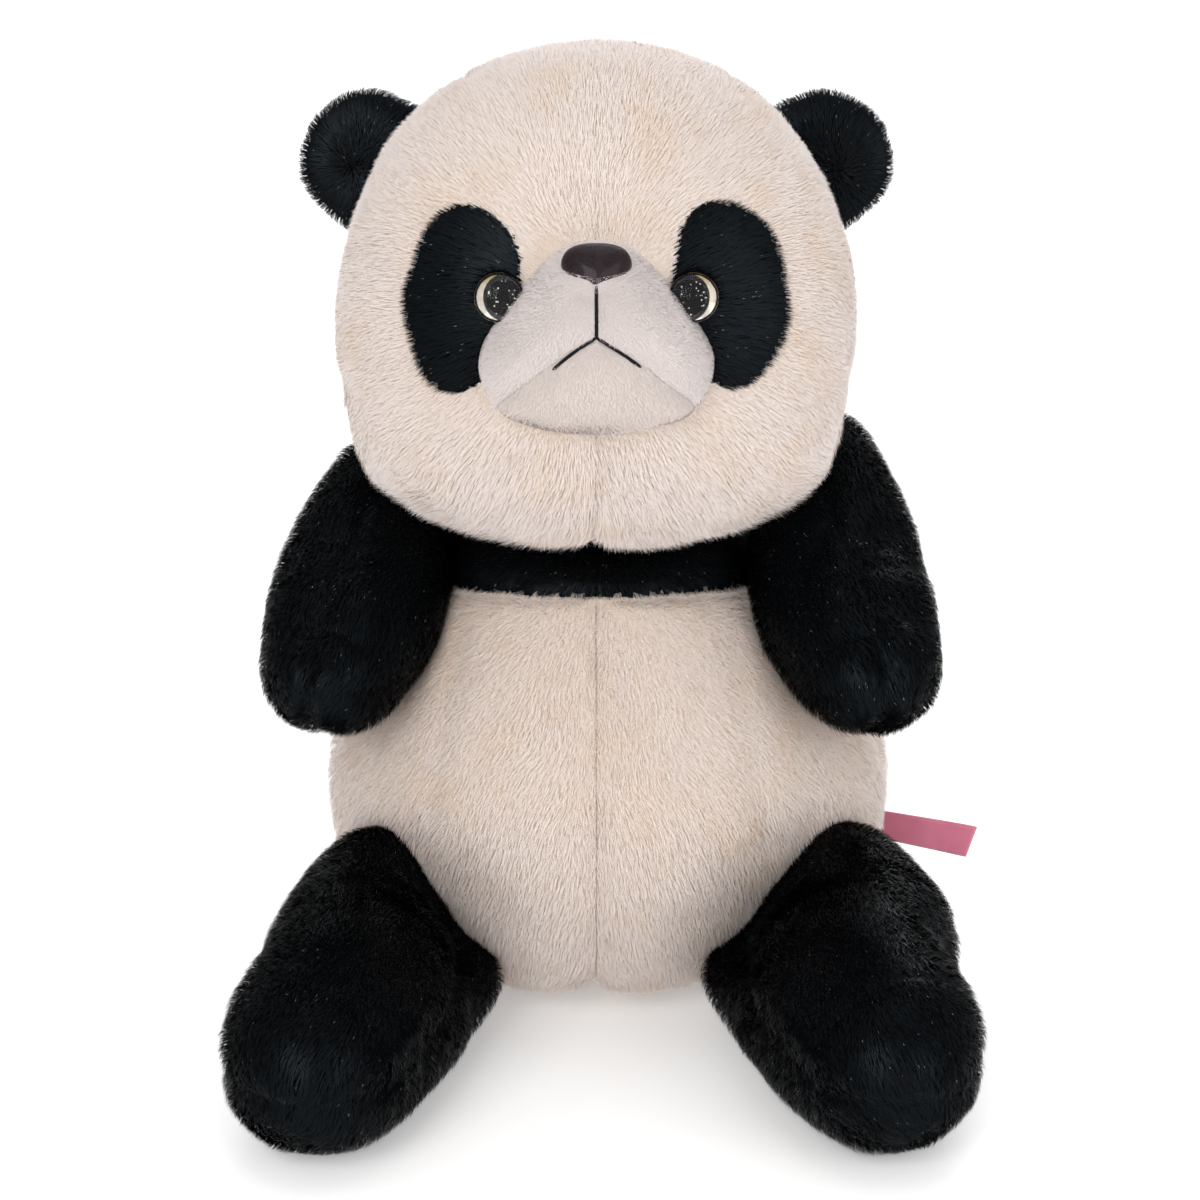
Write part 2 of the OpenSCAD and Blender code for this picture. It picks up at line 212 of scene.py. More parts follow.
class Nodes:
    """Short calls for making and joining a material's nodes."""

    def __init__(self, mat):
        self.tree = mat.node_tree
        self.shader = self.tree.nodes["Principled BSDF"]

    def add(self, kind, inputs=(), **settings):
        node = self.tree.nodes.new("ShaderNode" + kind)
        for key, value in settings.items():
            setattr(node, key, value)
        for key, value in dict(inputs).items():
            if isinstance(value, bpy.types.NodeSocket):
                self.tree.links.new(value, node.inputs[key])
            else:
                node.inputs[key].default_value = value
        return node

    def ramp(self, fac, stops):
        node = self.add("ValToRGB", {0: fac})
        points = node.color_ramp.elements
        while len(points) < len(stops):
            points.new(0.5)
        for point, (at, color) in zip(points, stops):
            point.position = at
            point.color = (*color, 1) if len(color) == 3 else color
        return node.outputs[0]

    def math(self, operation, a, b=0.0):
        return self.add("Math", {0: a, 1: b}, operation=operation).outputs[0]

    def mix(self, fac, a, b, blend="MIX"):
        node = self.add("Mix", {0: fac, 6: a, 7: b}, data_type="RGBA", blend_type=blend)
        return node.outputs[2]

    def bump(self, height, strength, distance):
        node = self.add("Bump", {"Strength": strength, "Distance": distance, "Height": height})
        self.tree.links.new(node.outputs[0], self.shader.inputs["Normal"])

    def into(self, socket, value):
        self.tree.links.new(value, self.shader.inputs[socket])

    def place(self):
        return self.add("TexCoord").outputs["Object"]


def pile_material(name, root, body, tip, roughness, glint=None, worn=(0.92, 0.92, 0.92), **sockets):
    """Fur: v of the strand's map runs from root to tip, u is its own random number."""
    mat = material(name, body, roughness, **sockets)
    n = Nodes(mat)
    uv = n.add("UVMap", uv_map="OFBake").outputs[0]
    split = n.add("SeparateXYZ", {0: uv})
    along = n.ramp(split.outputs[1], [(0.0, root), (0.45, body), (1.0, tip)])
    shade = n.ramp(split.outputs[0], [(0.0, worn), (0.5, (0.98,) * 3), (1.0, (1.0,) * 3)])
    color = n.mix(1.0, along, shade, "MULTIPLY")
    # painted glint: the tips of a few strands are painted bright, standing in for sparkle highlights
    if glint:
        share, glint_color = glint
        spark = n.math("GREATER_THAN", split.outputs[0], share)
        high = n.math("GREATER_THAN", split.outputs[1], 0.78)
        color = n.mix(n.math("MULTIPLY", spark, high), color, (*glint_color, 1))
    n.into("Base Color", color)
    return mat


def backing_material(name, dark, light, grain, **sockets):
    """The knitted backing that shows between the strands."""
    mat = material(name, dark, 0.9, **{"Sheen_Weight": 0.15, "Sheen_Roughness": 0.6, **sockets})
    n = Nodes(mat)
    where = n.place()
    coarse = n.add("TexNoise", {"Vector": where, "Scale": grain, "Detail": 5.0, "Roughness": 0.65})
    fine = n.add("TexVoronoi", {"Vector": where, "Scale": grain * 7}, feature="F1")
    n.into("Base Color", n.ramp(coarse.outputs[0], [(0.3, dark), (0.7, light)]))
    height = n.math("ADD", coarse.outputs[0], n.math("MULTIPLY", fine.outputs[0], 0.6))
    n.bump(height, 0.8, 0.0012)
    return mat


CREAM_ROOT, CREAM_BODY, CREAM_TIP = (0.81, 0.67, 0.54), (0.84, 0.75, 0.70), (0.86, 0.79, 0.765)
BLACK_ROOT, BLACK_BODY = (0.0005, 0.0006, 0.0008), (0.0014, 0.0021, 0.0028)
BLACK_TIP = (0.0032, 0.0050, 0.0068)
cream_pile = pile_material("cream_pile", CREAM_ROOT, CREAM_BODY, CREAM_TIP, 0.62, worn=(0.96, 0.90, 0.82),
                           Sheen_Weight=0.25, Sheen_Roughness=0.45, Specular_IOR_Level=0.25)
# the black pile's painted glints: a few strand tips painted bluish grey as highlights
black_pile = pile_material("black_pile", BLACK_ROOT, BLACK_BODY, BLACK_TIP, 0.36,
                           glint=(0.985, (0.42, 0.47, 0.52)), Specular_IOR_Level=0.14,
                           Specular_Tint=(0.72, 0.88, 1.0, 1.0))
SHORT_PILE = dict(roughness=0.6, Sheen_Weight=0.25, Sheen_Roughness=0.4, Specular_IOR_Level=0.2)
muzzle_pile = pile_material("muzzle_pile", (0.82, 0.73, 0.69), (0.86, 0.79, 0.785), (0.88, 0.82, 0.83),
                            **SHORT_PILE)
# The chin's pile is the muzzle's short pile made darker and warmer: painted shade for the shadow that falls
# under the mouth.
chin_pile = pile_material("chin_pile", (0.77, 0.66, 0.59), (0.81, 0.72, 0.675), (0.83, 0.75, 0.72),
                          **SHORT_PILE)
cream_backing = backing_material("cream_backing", (0.77, 0.64, 0.53), (0.83, 0.73, 0.65), 260)
black_backing = backing_material("black_backing", (0.0006, 0.0007, 0.0009), (0.0015, 0.002, 0.0026), 260,
                                 Sheen_Weight=0.0, Specular_IOR_Level=0.05)
muzzle_backing = backing_material("muzzle_backing", (0.80, 0.71, 0.66), (0.84, 0.77, 0.74), 900)


def fibre_fill_material():
    mat = material("fibre_fill", (0.86, 0.86, 0.84), 0.95, Sheen_Weight=0.3)
    n = Nodes(mat)
    curl = n.add("TexNoise", {"Vector": n.place(), "Scale": 120.0, "Detail": 8.0, "Distortion": 2.5})
    n.into("Base Color", n.ramp(curl.outputs[0], [(0.3, (0.70, 0.70, 0.68)), (0.7, (0.92, 0.92, 0.91))]))
    n.bump(curl.outputs[0], 1.0, 0.003)
    return mat


def leather_plastic():
    """Dark brown plastic with fine leather cells pressed into it."""
    dark, light = (0.008, 0.003, 0.005), (0.018, 0.007, 0.010)
    mat = material("nose_plastic", light, 0.26, Coat_Weight=0.16, Coat_Roughness=0.12,
                   Specular_IOR_Level=0.15, Coat_Tint=(0.86, 0.84, 1.0, 1.0))
    n = Nodes(mat)
    where = n.place()
    cells = n.add("TexVoronoi", {"Vector": where, "Scale": 1050.0}, feature="DISTANCE_TO_EDGE")
    ridges = n.ramp(cells.outputs[0], [(0.0, (0, 0, 0)), (0.25, (1, 1, 1))])
    cloud = n.add("TexNoise", {"Vector": where, "Scale": 220.0, "Detail": 3.0})
    n.into("Base Color", n.ramp(cloud.outputs[0], [(0.35, dark), (0.7, light)]))
    n.into("Roughness", n.ramp(ridges, [(0.0, (0.5,) * 3), (1.0, (0.26,) * 3)]))
    n.bump(ridges, 0.35, 0.00025)
    return mat


def pearl_material():
    """Pearly white, golden at the top. The pupil's dark print is off centre and leaves a white crescent."""
    print_radius, print_inward, print_up = 8.2 * MM, 2.4 * MM, 0.3 * MM
    eye = middle_of("eye_base_right")
    mat = material("eye_white_look", (0.86, 0.80, 0.66), 0.22, Coat_Weight=0.6, Coat_Roughness=0.05)
    n = Nodes(mat)
    where = n.place()
    along, _, up = n.add("SeparateXYZ", {0: where}).outputs
    level = n.math("MULTIPLY_ADD", n.math("SUBTRACT", up, eye[2]), 60.0)
    level.node.inputs[2].default_value = 0.5
    rays = n.add("TexNoise", {"Vector": where, "Scale": 900.0, "Detail": 4.0})
    tone = n.ramp(level, [(0.15, (0.90, 0.87, 0.80)), (0.72, (0.88, 0.82, 0.68)), (0.95, (0.62, 0.42, 0.16))])
    streaks = n.ramp(rays.outputs[0], [(0.3, (0.6, 0.52, 0.4)), (0.7, (1, 1, 1))])
    white = n.mix(0.25, tone, streaks, "MULTIPLY")
    off_x = n.math("SUBTRACT", n.math("ABSOLUTE", along), eye[0] - print_inward)
    off_z = n.math("SUBTRACT", up, eye[2] + print_up)
    away = n.math("SQRT", n.math("ADD", n.math("MULTIPLY", off_x, off_x), n.math("MULTIPLY", off_z, off_z)))
    n.into("Base Color", n.mix(n.math("LESS_THAN", away, print_radius), white, (0.002, 0.002, 0.003, 1)))
    n.into("Roughness", n.ramp(rays.outputs[0], [(0.3, (0.16,) * 3), (0.7, (0.3,) * 3)]))
    return mat


def glitter_material():
    """Black with silver flakes: one cell in nine holds one."""
    mat = material("eye_pupil_look", (0.002, 0.002, 0.003), 0.3, Specular_IOR_Level=0.1)
    n = Nodes(mat)
    flakes = n.add("TexVoronoi", {"Vector": n.place(), "Scale": 1500.0}, feature="F1")
    pick = n.add("SeparateColor", {0: flakes.outputs["Color"]}).outputs[0]
    chosen = n.math("GREATER_THAN", pick, 0.89)
    bright = n.math("MULTIPLY", chosen, n.math("LESS_THAN", flakes.outputs[0], 0.40))
    n.into("Base Color", n.mix(bright, (0.002, 0.002, 0.003, 1), (0.75, 0.74, 0.66, 1)))
    n.into("Metallic", bright)
    return mat


def lens_material():
    """Clear plastic: a polished surface over what is under it."""
    mat = bpy.data.materials.new("eye_lens_look")
    mat.use_nodes = True
    tree = mat.node_tree
    tree.nodes.remove(tree.nodes["Principled BSDF"])
    clear, gloss = tree.nodes.new("ShaderNodeBsdfTransparent"), tree.nodes.new("ShaderNodeBsdfGlossy")
    gloss.inputs["Roughness"].default_value = 0.04
    fresnel, mix = tree.nodes.new("ShaderNodeFresnel"), tree.nodes.new("ShaderNodeMixShader")
    fresnel.inputs["IOR"].default_value = 1.16
    tree.links.new(fresnel.outputs[0], mix.inputs[0])
    tree.links.new(clear.outputs[0], mix.inputs[1])
    tree.links.new(gloss.outputs[0], mix.inputs[2])
    tree.links.new(mix.outputs[0], tree.nodes["Material Output"].inputs[0])
    return mat


def thread_material(name, dark, light, roughness, **sockets):
    mat = material(name, dark, roughness, **sockets)
    n = Nodes(mat)
    twist = n.add("TexWave", {"Vector": n.place(), "Scale": 900.0, "Distortion": 1.5},
                  bands_direction="DIAGONAL")
    n.into("Base Color", n.ramp(twist.outputs[0], [(0.2, dark), (0.8, light)]))
    n.bump(twist.outputs[0], 0.7, 0.0003)
    return mat


def satin_material():
    """Pink satin: warp and weft in fine waves."""
    mat = material("ribbon_satin", (0.72, 0.24, 0.32), 0.38, Sheen_Weight=0.5, Sheen_Roughness=0.3,
                   Anisotropic=0.6)
    n = Nodes(mat)
    where = n.place()
    warp = n.add("TexWave", {"Vector": where, "Scale": 520.0}, bands_direction="Z")
    weft = n.add("TexWave", {"Vector": where, "Scale": 390.0, "Distortion": 0.4}, bands_direction="X")
    weave = n.math("MULTIPLY", warp.outputs[0], weft.outputs[0])
    cloud = n.add("TexNoise", {"Vector": where, "Scale": 90.0})
    tone = n.ramp(cloud.outputs[0], [(0.3, (0.66, 0.19, 0.29)), (0.7, (0.74, 0.23, 0.34))])
    n.into("Base Color", n.mix(0.25, tone, n.ramp(weave, [(0.0, (0.7,) * 3), (1.0, (1,) * 3)]), "MULTIPLY"))
    n.bump(weave, 0.35, 0.0002)
    return mat


def washer_material():
    mat = material("washer_plastic_look", (0.80, 0.80, 0.78), 0.5)
    n = Nodes(mat)
    cloud = n.add("TexNoise", {"Vector": n.place(), "Scale": 300.0, "Detail": 3.0})
    n.into("Base Color", n.ramp(cloud.outputs[0], [(0.3, (0.72, 0.72, 0.70)), (0.7, (0.85, 0.85, 0.83))]))
    n.bump(cloud.outputs[0], 0.2, 0.0003)
    return mat


def rim_material():
    """The matt black edge that the eye's stem is pressed into."""
    mat = material("eye_rim", (0.002, 0.002, 0.003), 0.7, Specular_IOR_Level=0.05)
    n = Nodes(mat)
    cloud = n.add("TexNoise", {"Vector": n.place(), "Scale": 500.0})
    n.into("Roughness", n.ramp(cloud.outputs[0], [(0.3, (0.5,) * 3), (0.7, (0.75,) * 3)]))
    return mat


def dressed(ob, mat):
    """Gives an object one material in place of what it had."""
    ob.data.materials.clear()
    ob.data.materials.append(mat)


fibre_fill = fibre_fill_material()
black_thread = thread_material("black_thread", (0.002, 0.002, 0.003), (0.009, 0.009, 0.011), 0.6,
                               Specular_IOR_Level=0.15)
cream_thread = thread_material("cream_thread", (0.70, 0.54, 0.42), (0.88, 0.76, 0.65), 0.7, Sheen_Weight=0.3)

# the hard parts and the closing stitches keep their CAD shapes
for part, mat in (("eye_base", pearl_material()), ("eye_pupil", glitter_material()),
                  ("eye_lens", lens_material()), ("eye_washer", washer_material())):
    for side, _ in SIDES:
        dressed(frame["nodes"][f"{part}_{side}"], mat)
dressed(frame["nodes"]["nose_washer"], mat)
dressed(frame["nodes"]["closing_stitches"], cream_thread)


# ---------- stuffed forms ----------

def hull_of(me):
    """Closes the hollows of an egg-shaped mesh."""
    bm = bmesh.new()
    for p in arrays(me)[0]:
        bm.verts.new(p)
    bmesh.ops.convex_hull(bm, input=bm.verts)
    bmesh.ops.delete(bm, geom=[v for v in bm.verts if not v.link_faces], context="VERTS")
    bm.to_mesh(me)
    bm.free()


def soft_form(name, nodes, voxel, shrink, smooth=4, tweak=None, egg=False):
    """One closed skin around CAD nodes, a little inside them, before it is inflated."""
    verts, faces, first = [], [], 0
    for node in nodes:
        co, _, tri = arrays(frame["nodes"][node].data)
        verts.append(co)
        faces.append(tri + first)
        first += len(co)
    ob = new_object(name, mesh_of(name, np.vstack(verts), np.vstack(faces)))
    welded(ob.data, 2e-6)
    modified(ob, "REMESH", mode="VOXEL", voxel_size=voxel * MM)
    keep_largest(ob.data)
    if egg:
        hull_of(ob.data)
        modified(ob, "REMESH", mode="VOXEL", voxel_size=voxel * MM)
    modified(ob, "SMOOTH", factor=0.5, iterations=smooth)
    co, no, _ = arrays(ob.data)
    co = co - no * shrink * MM
    if tweak:
        co = tweak(co)
    move_points(ob.data, co)
    return ob


def add_cloth(ob, seam, pull, pressure):
    """Air pressure in cloth; the seams are pulled short, so they pucker."""
    co, _, _ = arrays(ob.data)
    near = np.clip(1 - seam(co) / (6 * MM), 0, 1) if seam else np.zeros(len(co))
    group = ob.vertex_groups.new(name="seam")
    for i in np.nonzero(near > 0)[0]:
        group.add([int(i)], float(near[i]), "REPLACE")
    cloth = ob.modifiers.new("Cloth", "CLOTH")
    s = cloth.settings
    s.quality = 4
    s.mass = 0.25
    s.tension_stiffness = s.compression_stiffness = 12
    s.shear_stiffness = 6
    s.bending_stiffness = 0.6
    s.use_pressure = True
    s.uniform_pressure_force = pressure
    s.effector_weights.gravity = 0
    s.vertex_group_shrink = "seam"
    s.shrink_min = 0.0
    s.shrink_max = pull
    cloth.collision_settings.use_collision = False
    cloth.point_cache.frame_start, cloth.point_cache.frame_end = 1, 20


def inflate(forms, frames=16):
    """Steps all the cloths together, then caps how far each point has moved.

    The filling keeps each form's size, so the mean swelling is set to half of the cap."""
    rest = {ob: arrays(ob.data)[:2] for ob, *_ in forms}
    for ob, seam, pull, pressure, _ in forms:
        add_cloth(ob, seam, pull, pressure)
    for f in range(1, frames + 1):
        scene.frame_set(f)
    for ob, _, _, _, cap in forms:
        applied(ob)
        before, out = rest[ob]
        step = arrays(ob.data)[0] - before
        step += out * (cap * MM * 0.5 - (step * out).sum(1).mean())
        far = np.linalg.norm(step, axis=1, keepdims=True)
        move_points(ob.data, before + step * np.minimum(1, cap * MM / np.maximum(far, 1e-9)))
        modified(ob, "SUBSURF", levels=1, render_levels=1)
    scene.frame_set(1)


def surface_tree(ob):
    """A search tree of a form's faces, and its points."""
    co, _, tri = arrays(ob.data)
    return BVHTree.FromPolygons([Vector(p) for p in co], [tuple(map(int, t)) for t in tri]), co


def clear_of(ob, others, gap):
    """Moves points of ob that are in or too near another skin out to its surface."""
    co = arrays(ob.data)[0]
    for other in others:
        tree, oco = surface_tree(other)
        low, high = oco.min(0) - gap, oco.max(0) + gap
        for i in np.nonzero(((co > low) & (co < high)).all(axis=1))[0]:
            at, normal, _, far = tree.find_nearest(Vector(co[i]))
            side = (Vector(co[i]) - at).dot(normal)
            if side < 0 or far < gap:
                co[i] = at + normal * gap
    move_points(ob.data, co)


def clearance(co, others, reach):
    """How far each point is from the nearest other skin, negative inside it, at most reach."""
    found = np.full(len(co), reach)
    for other in others:
        tree, oco = surface_tree(other)
        low, high = oco.min(0) - reach, oco.max(0) + reach
        for i in np.nonzero(((co > low) & (co < high)).all(axis=1))[0]:
            at, normal, _, far = tree.find_nearest(Vector(co[i]))
            if (Vector(co[i]) - at).dot(normal) < 0:
                far = -far
            found[i] = min(found[i], far)
    return found


def groove(ob, seam, depth, width, pucker, lumps=0.6):
    """Pulls a skin in along its seams, with small gathers beside them."""
    co, no, _ = arrays(ob.data)
    d = seam(co)
    valley = np.exp(-(d / (width * MM)) ** 2)
    gather = np.exp(-(d / (3.2 * width * MM)) ** 2) * noise(co, 5 * MM, 11)
    soft = noise(co, 34 * MM, 5) * 0.8 + noise(co, 15 * MM, 6) * 0.35
    move_points(ob.data, co + no * ((-depth * valley + pucker * gather + soft * lumps) * MM)[:, None])


# ---------- fur ----------

BEHIND_SHARE, BEHIND_WIDTH = 0.55, 1.3  # panels seen only from behind have fewer and wider strands
PAINTED_GLINT_SHARE = 0.007  # strands whose tips get a painted glint, where the pile has any
LOWEST = 0.2 * MM  # no strand goes below this


def point_tree(points):
    """A search over points: it gives the index of the nearest one to each point asked for."""
    tree = KDTree(len(points))
    for i, point in enumerate(points):
        tree.insert(point, i)
    tree.balance()
    return lambda p: np.array([tree.find(q)[1] for q in p])


def grow(name, ob, body, mat, label, density, length, flow, width=0.24, tilt=58, clump=3.2, tuft=0.16,
         wild=0.2, sink=0.8):
    """Strands on one skin, in one piece for each name that label(points) gives.

    density is strands to a square mm, length(p) is in mm and flow(p) is the way they lie. Each strand is a
    ribbon that bends over by tilt degrees, strays by wild, and leans by tuft to the tip of its tuft's
    guide, where tufts are clump mm apart. Its root is sink mm under the skin."""
    co, no, tri = arrays(ob.data)
    rng = np.random.default_rng(sum(ord(c) * (i + 3) for i, c in enumerate(name)))
    a, b, c = co[tri[:, 0]], co[tri[:, 1]], co[tri[:, 2]]
    area = np.linalg.norm(np.cross(b - a, c - a), axis=1) / 2
    total = np.cumsum(area)
    count = int(total[-1] / MM ** 2 * density * FUR)
    pick = np.searchsorted(total, (np.arange(count) + rng.random(count)) / count * total[-1])
    pick = np.minimum(pick, len(tri) - 1)
    u, v = rng.random((2, count, 1))
    u, v = np.where(u + v > 1, 1 - u, u), np.where(u + v > 1, 1 - v, v)
    p = a[pick] + u * (b[pick] - a[pick]) + v * (c[pick] - a[pick])
    n = unit(no[tri[pick, 0]] * (1 - u - v) + no[tri[pick, 1]] * u + no[tri[pick, 2]] * v)
    size = length(p)
    stay = size > 0.3
    names = label(p)
    behind = np.array(["back" in key or "seat" in key for key in names])
    stay &= ~behind | (rng.random(len(p)) < BEHIND_SHARE)
    p, n, size, names, behind = p[stay], n[stay], size[stay], names[stay], behind[stay]
    count = len(p)
    # the lie of the pile
    t = flow(p)
    swirl = np.stack([noise(p, 16 * MM, 21 + k) for k in range(3)], axis=1)
    t = unit(t) + swirl * wild * 1.6 + rng.normal(0, wild * 0.4, (count, 3))
    t = unit(t - n * (t * n).sum(1, keepdims=True))
    lean = np.radians(tilt + 13 * noise(p, 9 * MM, 31) + rng.normal(0, 5, count))[:, None]
    size = (size * MM * (0.78 + 0.44 * rng.random(count)))[:, None] / (FUR ** 0.15)
    d1 = n * np.cos(lean * 0.62) + t * np.sin(lean * 0.62)
    d2 = n * np.cos(lean * 1.25) + t * np.sin(lean * 1.25)
    mid = p + d1 * size * 0.5
    tip = mid + d2 * size * 0.5
    # tufts
    guides = rng.choice(count, max(1, int(count / (density * FUR * clump ** 2))), replace=False)
    g = guides[point_tree(p[guides])(p)]
    pull = (tuft * (0.6 + 0.4 * rng.random(count)))[:, None]
    away = p - p[g]
    tip += (tip[g] + away * 0.25 - tip) * pull
    mid += (mid[g] + away * 0.75 - mid) * pull * 0.5
    # each ribbon's width lies roughly in the skin, turned at random about the strand
    side = unit(np.cross(d1, n) + 1e-6)
    face = np.cross(side, d1)
    turn = rng.uniform(-0.9, 0.9, (count, 1))
    side = side * np.cos(turn) + face * np.sin(turn)
    side *= np.where((np.cross(side, d1) * n).sum(1, keepdims=True) < 0, -1, 1)
    half = side * width * MM / 2 / FUR ** 0.5 * rng.uniform(0.75, 1.25, (count, 1))
    half *= np.where(behind, BEHIND_WIDTH, 1)[:, None]
    root = p - n * sink * MM
    verts = np.stack([root - half, root + half, mid - half * 0.8, mid + half * 0.8, tip], axis=1)
    verts[:, :, 2] = np.maximum(verts[:, :, 2], LOWEST)
    # the strands are shaded much like the skin under them, so the pile looks soft
    bend = unit(np.cross(side, d1) * 0.14 + n * 1.6 - t * 0.18)
    bend = np.where((bend * n).sum(1, keepdims=True) < 0, -bend, bend)
    shade = np.repeat(bend[:, None], 5, axis=1)
    # each strand's own number: patches of tone, and 1.0 for the few whose tips get a painted glint
    rnd = 0.5 + 0.42 * noise(p, 19 * MM, 41) + 0.25 * noise(p, 6 * MM, 42) + rng.normal(0, 0.07, count)
    rnd = np.where(rng.random(count) < PAINTED_GLINT_SHARE, 1.0, np.clip(rnd, 0, 0.98))
    for key in sorted(set(names)):
        sel = names == key
        strand_mesh(key, verts[sel], shade[sel], rnd[sel], mat, body)


def strand_mesh(name, verts, shade, rnd, mat, body):
    """One mesh of five-point strands. Its UV map holds each one's own number and the way along it."""
    count = len(verts)
    me = bpy.data.meshes.new(name)
    me.vertices.add(count * 5)
    me.vertices.foreach_set("co", verts.astype(np.float32).ravel())
    corners = np.array([0, 1, 3, 2, 2, 3, 4])
    me.loops.add(count * 7)
    me.loops.foreach_set("vertex_index", (np.arange(count)[:, None] * 5 + corners).astype(np.int32).ravel())
    me.polygons.add(count * 2)
    starts = (np.arange(count)[:, None] * 7 + np.array([0, 4])).astype(np.int32).ravel()
    me.polygons.foreach_set("loop_start", starts)
    me.polygons.foreach_set("loop_total", np.tile(np.array([4, 3], np.int32), count))
    me.polygons.foreach_set("use_smooth", np.ones(count * 2, bool))
    uv = me.uv_layers.new(name="OFBake")
    along = np.array([0, 0, 0.5, 0.5, 0.5, 0.5, 1.0])
    across = np.repeat(0.01 + 0.98 * rnd, 7)
    uv.data.foreach_set("uv", np.stack([across, 0.01 + 0.98 * np.tile(along, count)], axis=1)
                        .astype(np.float32).ravel())
    me.update(calc_edges=True)
    me.normals_split_custom_set_from_vertices(shade.reshape(-1, 3).astype(np.float32).tolist())
    me.materials.append(mat)
    ob = new_object(name, me)
    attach(ob, body)


# ---------- sewn panels ----------

def sew_panels(ob, body, label, nodes, look, thick=1.2):
    """Splits a skin into closed panels: nodes gives each panel's CAD node, and look is (material, slot),
    whose slot is not used.
    """
    co, no, _ = arrays(ob.data)
    polys = [tuple(p.vertices) for p in ob.data.polygons]
    centres = np.array([co[list(p)].mean(0) for p in polys])
    names = label(centres)
    for key, node in nodes.items():
        mat, slot = look(key) if callable(look) else look
        faces = [p for p, k in zip(polys, names) if k == key]
        used = sorted({i for p in faces for i in p})
        index = {v: i for i, v in enumerate(used)}
        outer, inner = co[used], co[used] - no[used] * thick * MM
        count = len(used)
        top = [[index[i] for i in p] for p in faces]
        edges = dict.fromkeys(pair for p in top for pair in zip(p, p[1:] + p[:1]))
        rim = [(q, i, i + count, q + count) for i, q in edges if (q, i) not in edges]
        under = [[i + count for i in reversed(p)] for p in top]
        piece = new_object(key, mesh_of(key, np.vstack([outer, inner]), top + under + [list(r) for r in rim]))
        piece.data.materials.append(mat)
        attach(piece, body)
        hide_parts(node)


def fill_form(ob, name, body, node, depth):
    """The stuffing: the same form a little inside its skin, with lumps of fibre."""
    filling = new_object(name, ob.data.copy())
    dressed(filling, fibre_fill)
    co, no, _ = arrays(filling.data)
    move_points(filling.data, co - no * ((depth + 0.5 * noise(co, 7 * MM, 3)) * MM)[:, None])
    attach(filling, body)
    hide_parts(node)


def limb_axis(nodes, start):
    """A limb's joint, its farthest point from there, and the direction between them."""
    co = np.vstack([arrays(frame["nodes"][n].data)[0] for n in nodes])
    far = co[np.argmax(np.linalg.norm(co - start, axis=1))]
    return start, far, unit(far - start)


def pick_name(*rules):
    """The first rule that holds names the panel: rules are (mask, name) and the last a plain name."""
    masks, names = zip(*rules[:-1])
    return np.select(masks, [np.array(n, dtype="U40") for n in names], default=rules[-1])


def one_name(name):
    return lambda p: np.full(len(p), name)


# the forms before inflation
TORSO_NODES = ("belly_panel_left", "belly_panel_right", "back_panel_left", "back_panel_right",
               "shoulder_yoke", "seat_panel", "torso_stuffing")
HEAD_NODES = ("face_panel_left", "face_panel_right", "head_back_panel", "head_stuffing",
              "eye_patch_left", "eye_patch_right")


def torso_tweak(co):
    """The belly leans back to its foot, and the hips are wider, more so at the right."""
    front = ramp(TORSO_Y - co[:, 1], 0, 30 * MM)
    low = 1 - ramp(co[:, 2], 25 * MM, 120 * MM)
    co = co.copy()
    co[:, 1] = TORSO_Y + (co[:, 1] - TORSO_Y) * (1 - front * (0.01 + 0.20 * low))
    co[:, 2] += 6 * MM * front * (1 - ramp(co[:, 2], 10 * MM, 60 * MM))
    wide = 1 + np.where(co[:, 0] > 0, 0.13, 0.03) * np.exp(-((co[:, 2] - 0.080) / 0.045) ** 2)
    co[:, 0] *= wide
    return co


def arm_tweak(s):
    """The shoulder runs up behind the cheek, and the paw is broad."""
    def tweak(co):
        start, far, axis = ARM["left" if s < 0 else "right"]
        along = (co - start) @ axis / np.linalg.norm(far - start)
        up = 1 - ramp(along, -0.25, 0.55)
        paw = ramp(along, 0.3, 0.8)
        middle = start + np.outer((co - start) @ axis, axis)
        co = middle + (co - middle) * (1 + 0.10 * paw + (0.28 if s > 0 else 0.12) * up)[:, None]
        high = np.array([11.0, 0, 23]) if s > 0 else np.array([-8.0, 0, 14])
        out = np.array([4.5, 0, 0]) if s > 0 else np.array([-1.0, 0, 0])
        return co + (up[:, None] * high + out + paw[:, None] * axis * 3) * MM
    return tweak


def ear_tweak(s):
    """Each ear sits a little higher, and its open edge is sewn into the head."""
    def tweak(co):
        out = unit(FACE @ np.array([s * 0.85, 0, 0.55]))
        depth = (co - co.mean(0)) @ out
        return co + (FACE[:, 2] * 4 - out * 9 * (1 - ramp(depth / MM, -14, 4))[:, None]) * MM
    return tweak


def leg_tweak(s):
    """The thigh tapers to the hip on its inner side, where the belly lies over it."""
    def tweak(co):
        start, far, axis = LEG["left" if s < 0 else "right"]
        lateral = unit(np.cross(axis, (0, 0, 1)))
        lateral = lateral * np.sign(lateral[0] * s)
        away = co - start
        along = away @ axis / np.linalg.norm(far - start)
        hip = 1 - ramp(along, -0.05, 0.50)
        inner = ramp(-(away @ lateral) / MM, -14, 30)
        high = ramp(co[:, 2] / MM, 22, 58)
        shift = (hip * inner * high)[:, None] * (lateral * 25 - np.array([0, 0, 16]))
        thigh = 8 * np.exp(-((along - 0.28) / 0.16) ** 2) if s > 0 else 0
        shift = shift + ((1 - inner) * (hip * (12 if s > 0 else 4) + thigh))[:, None] * lateral
        return co + (shift + lateral * (5.5 if s > 0 else 0.5)) * MM
    return tweak


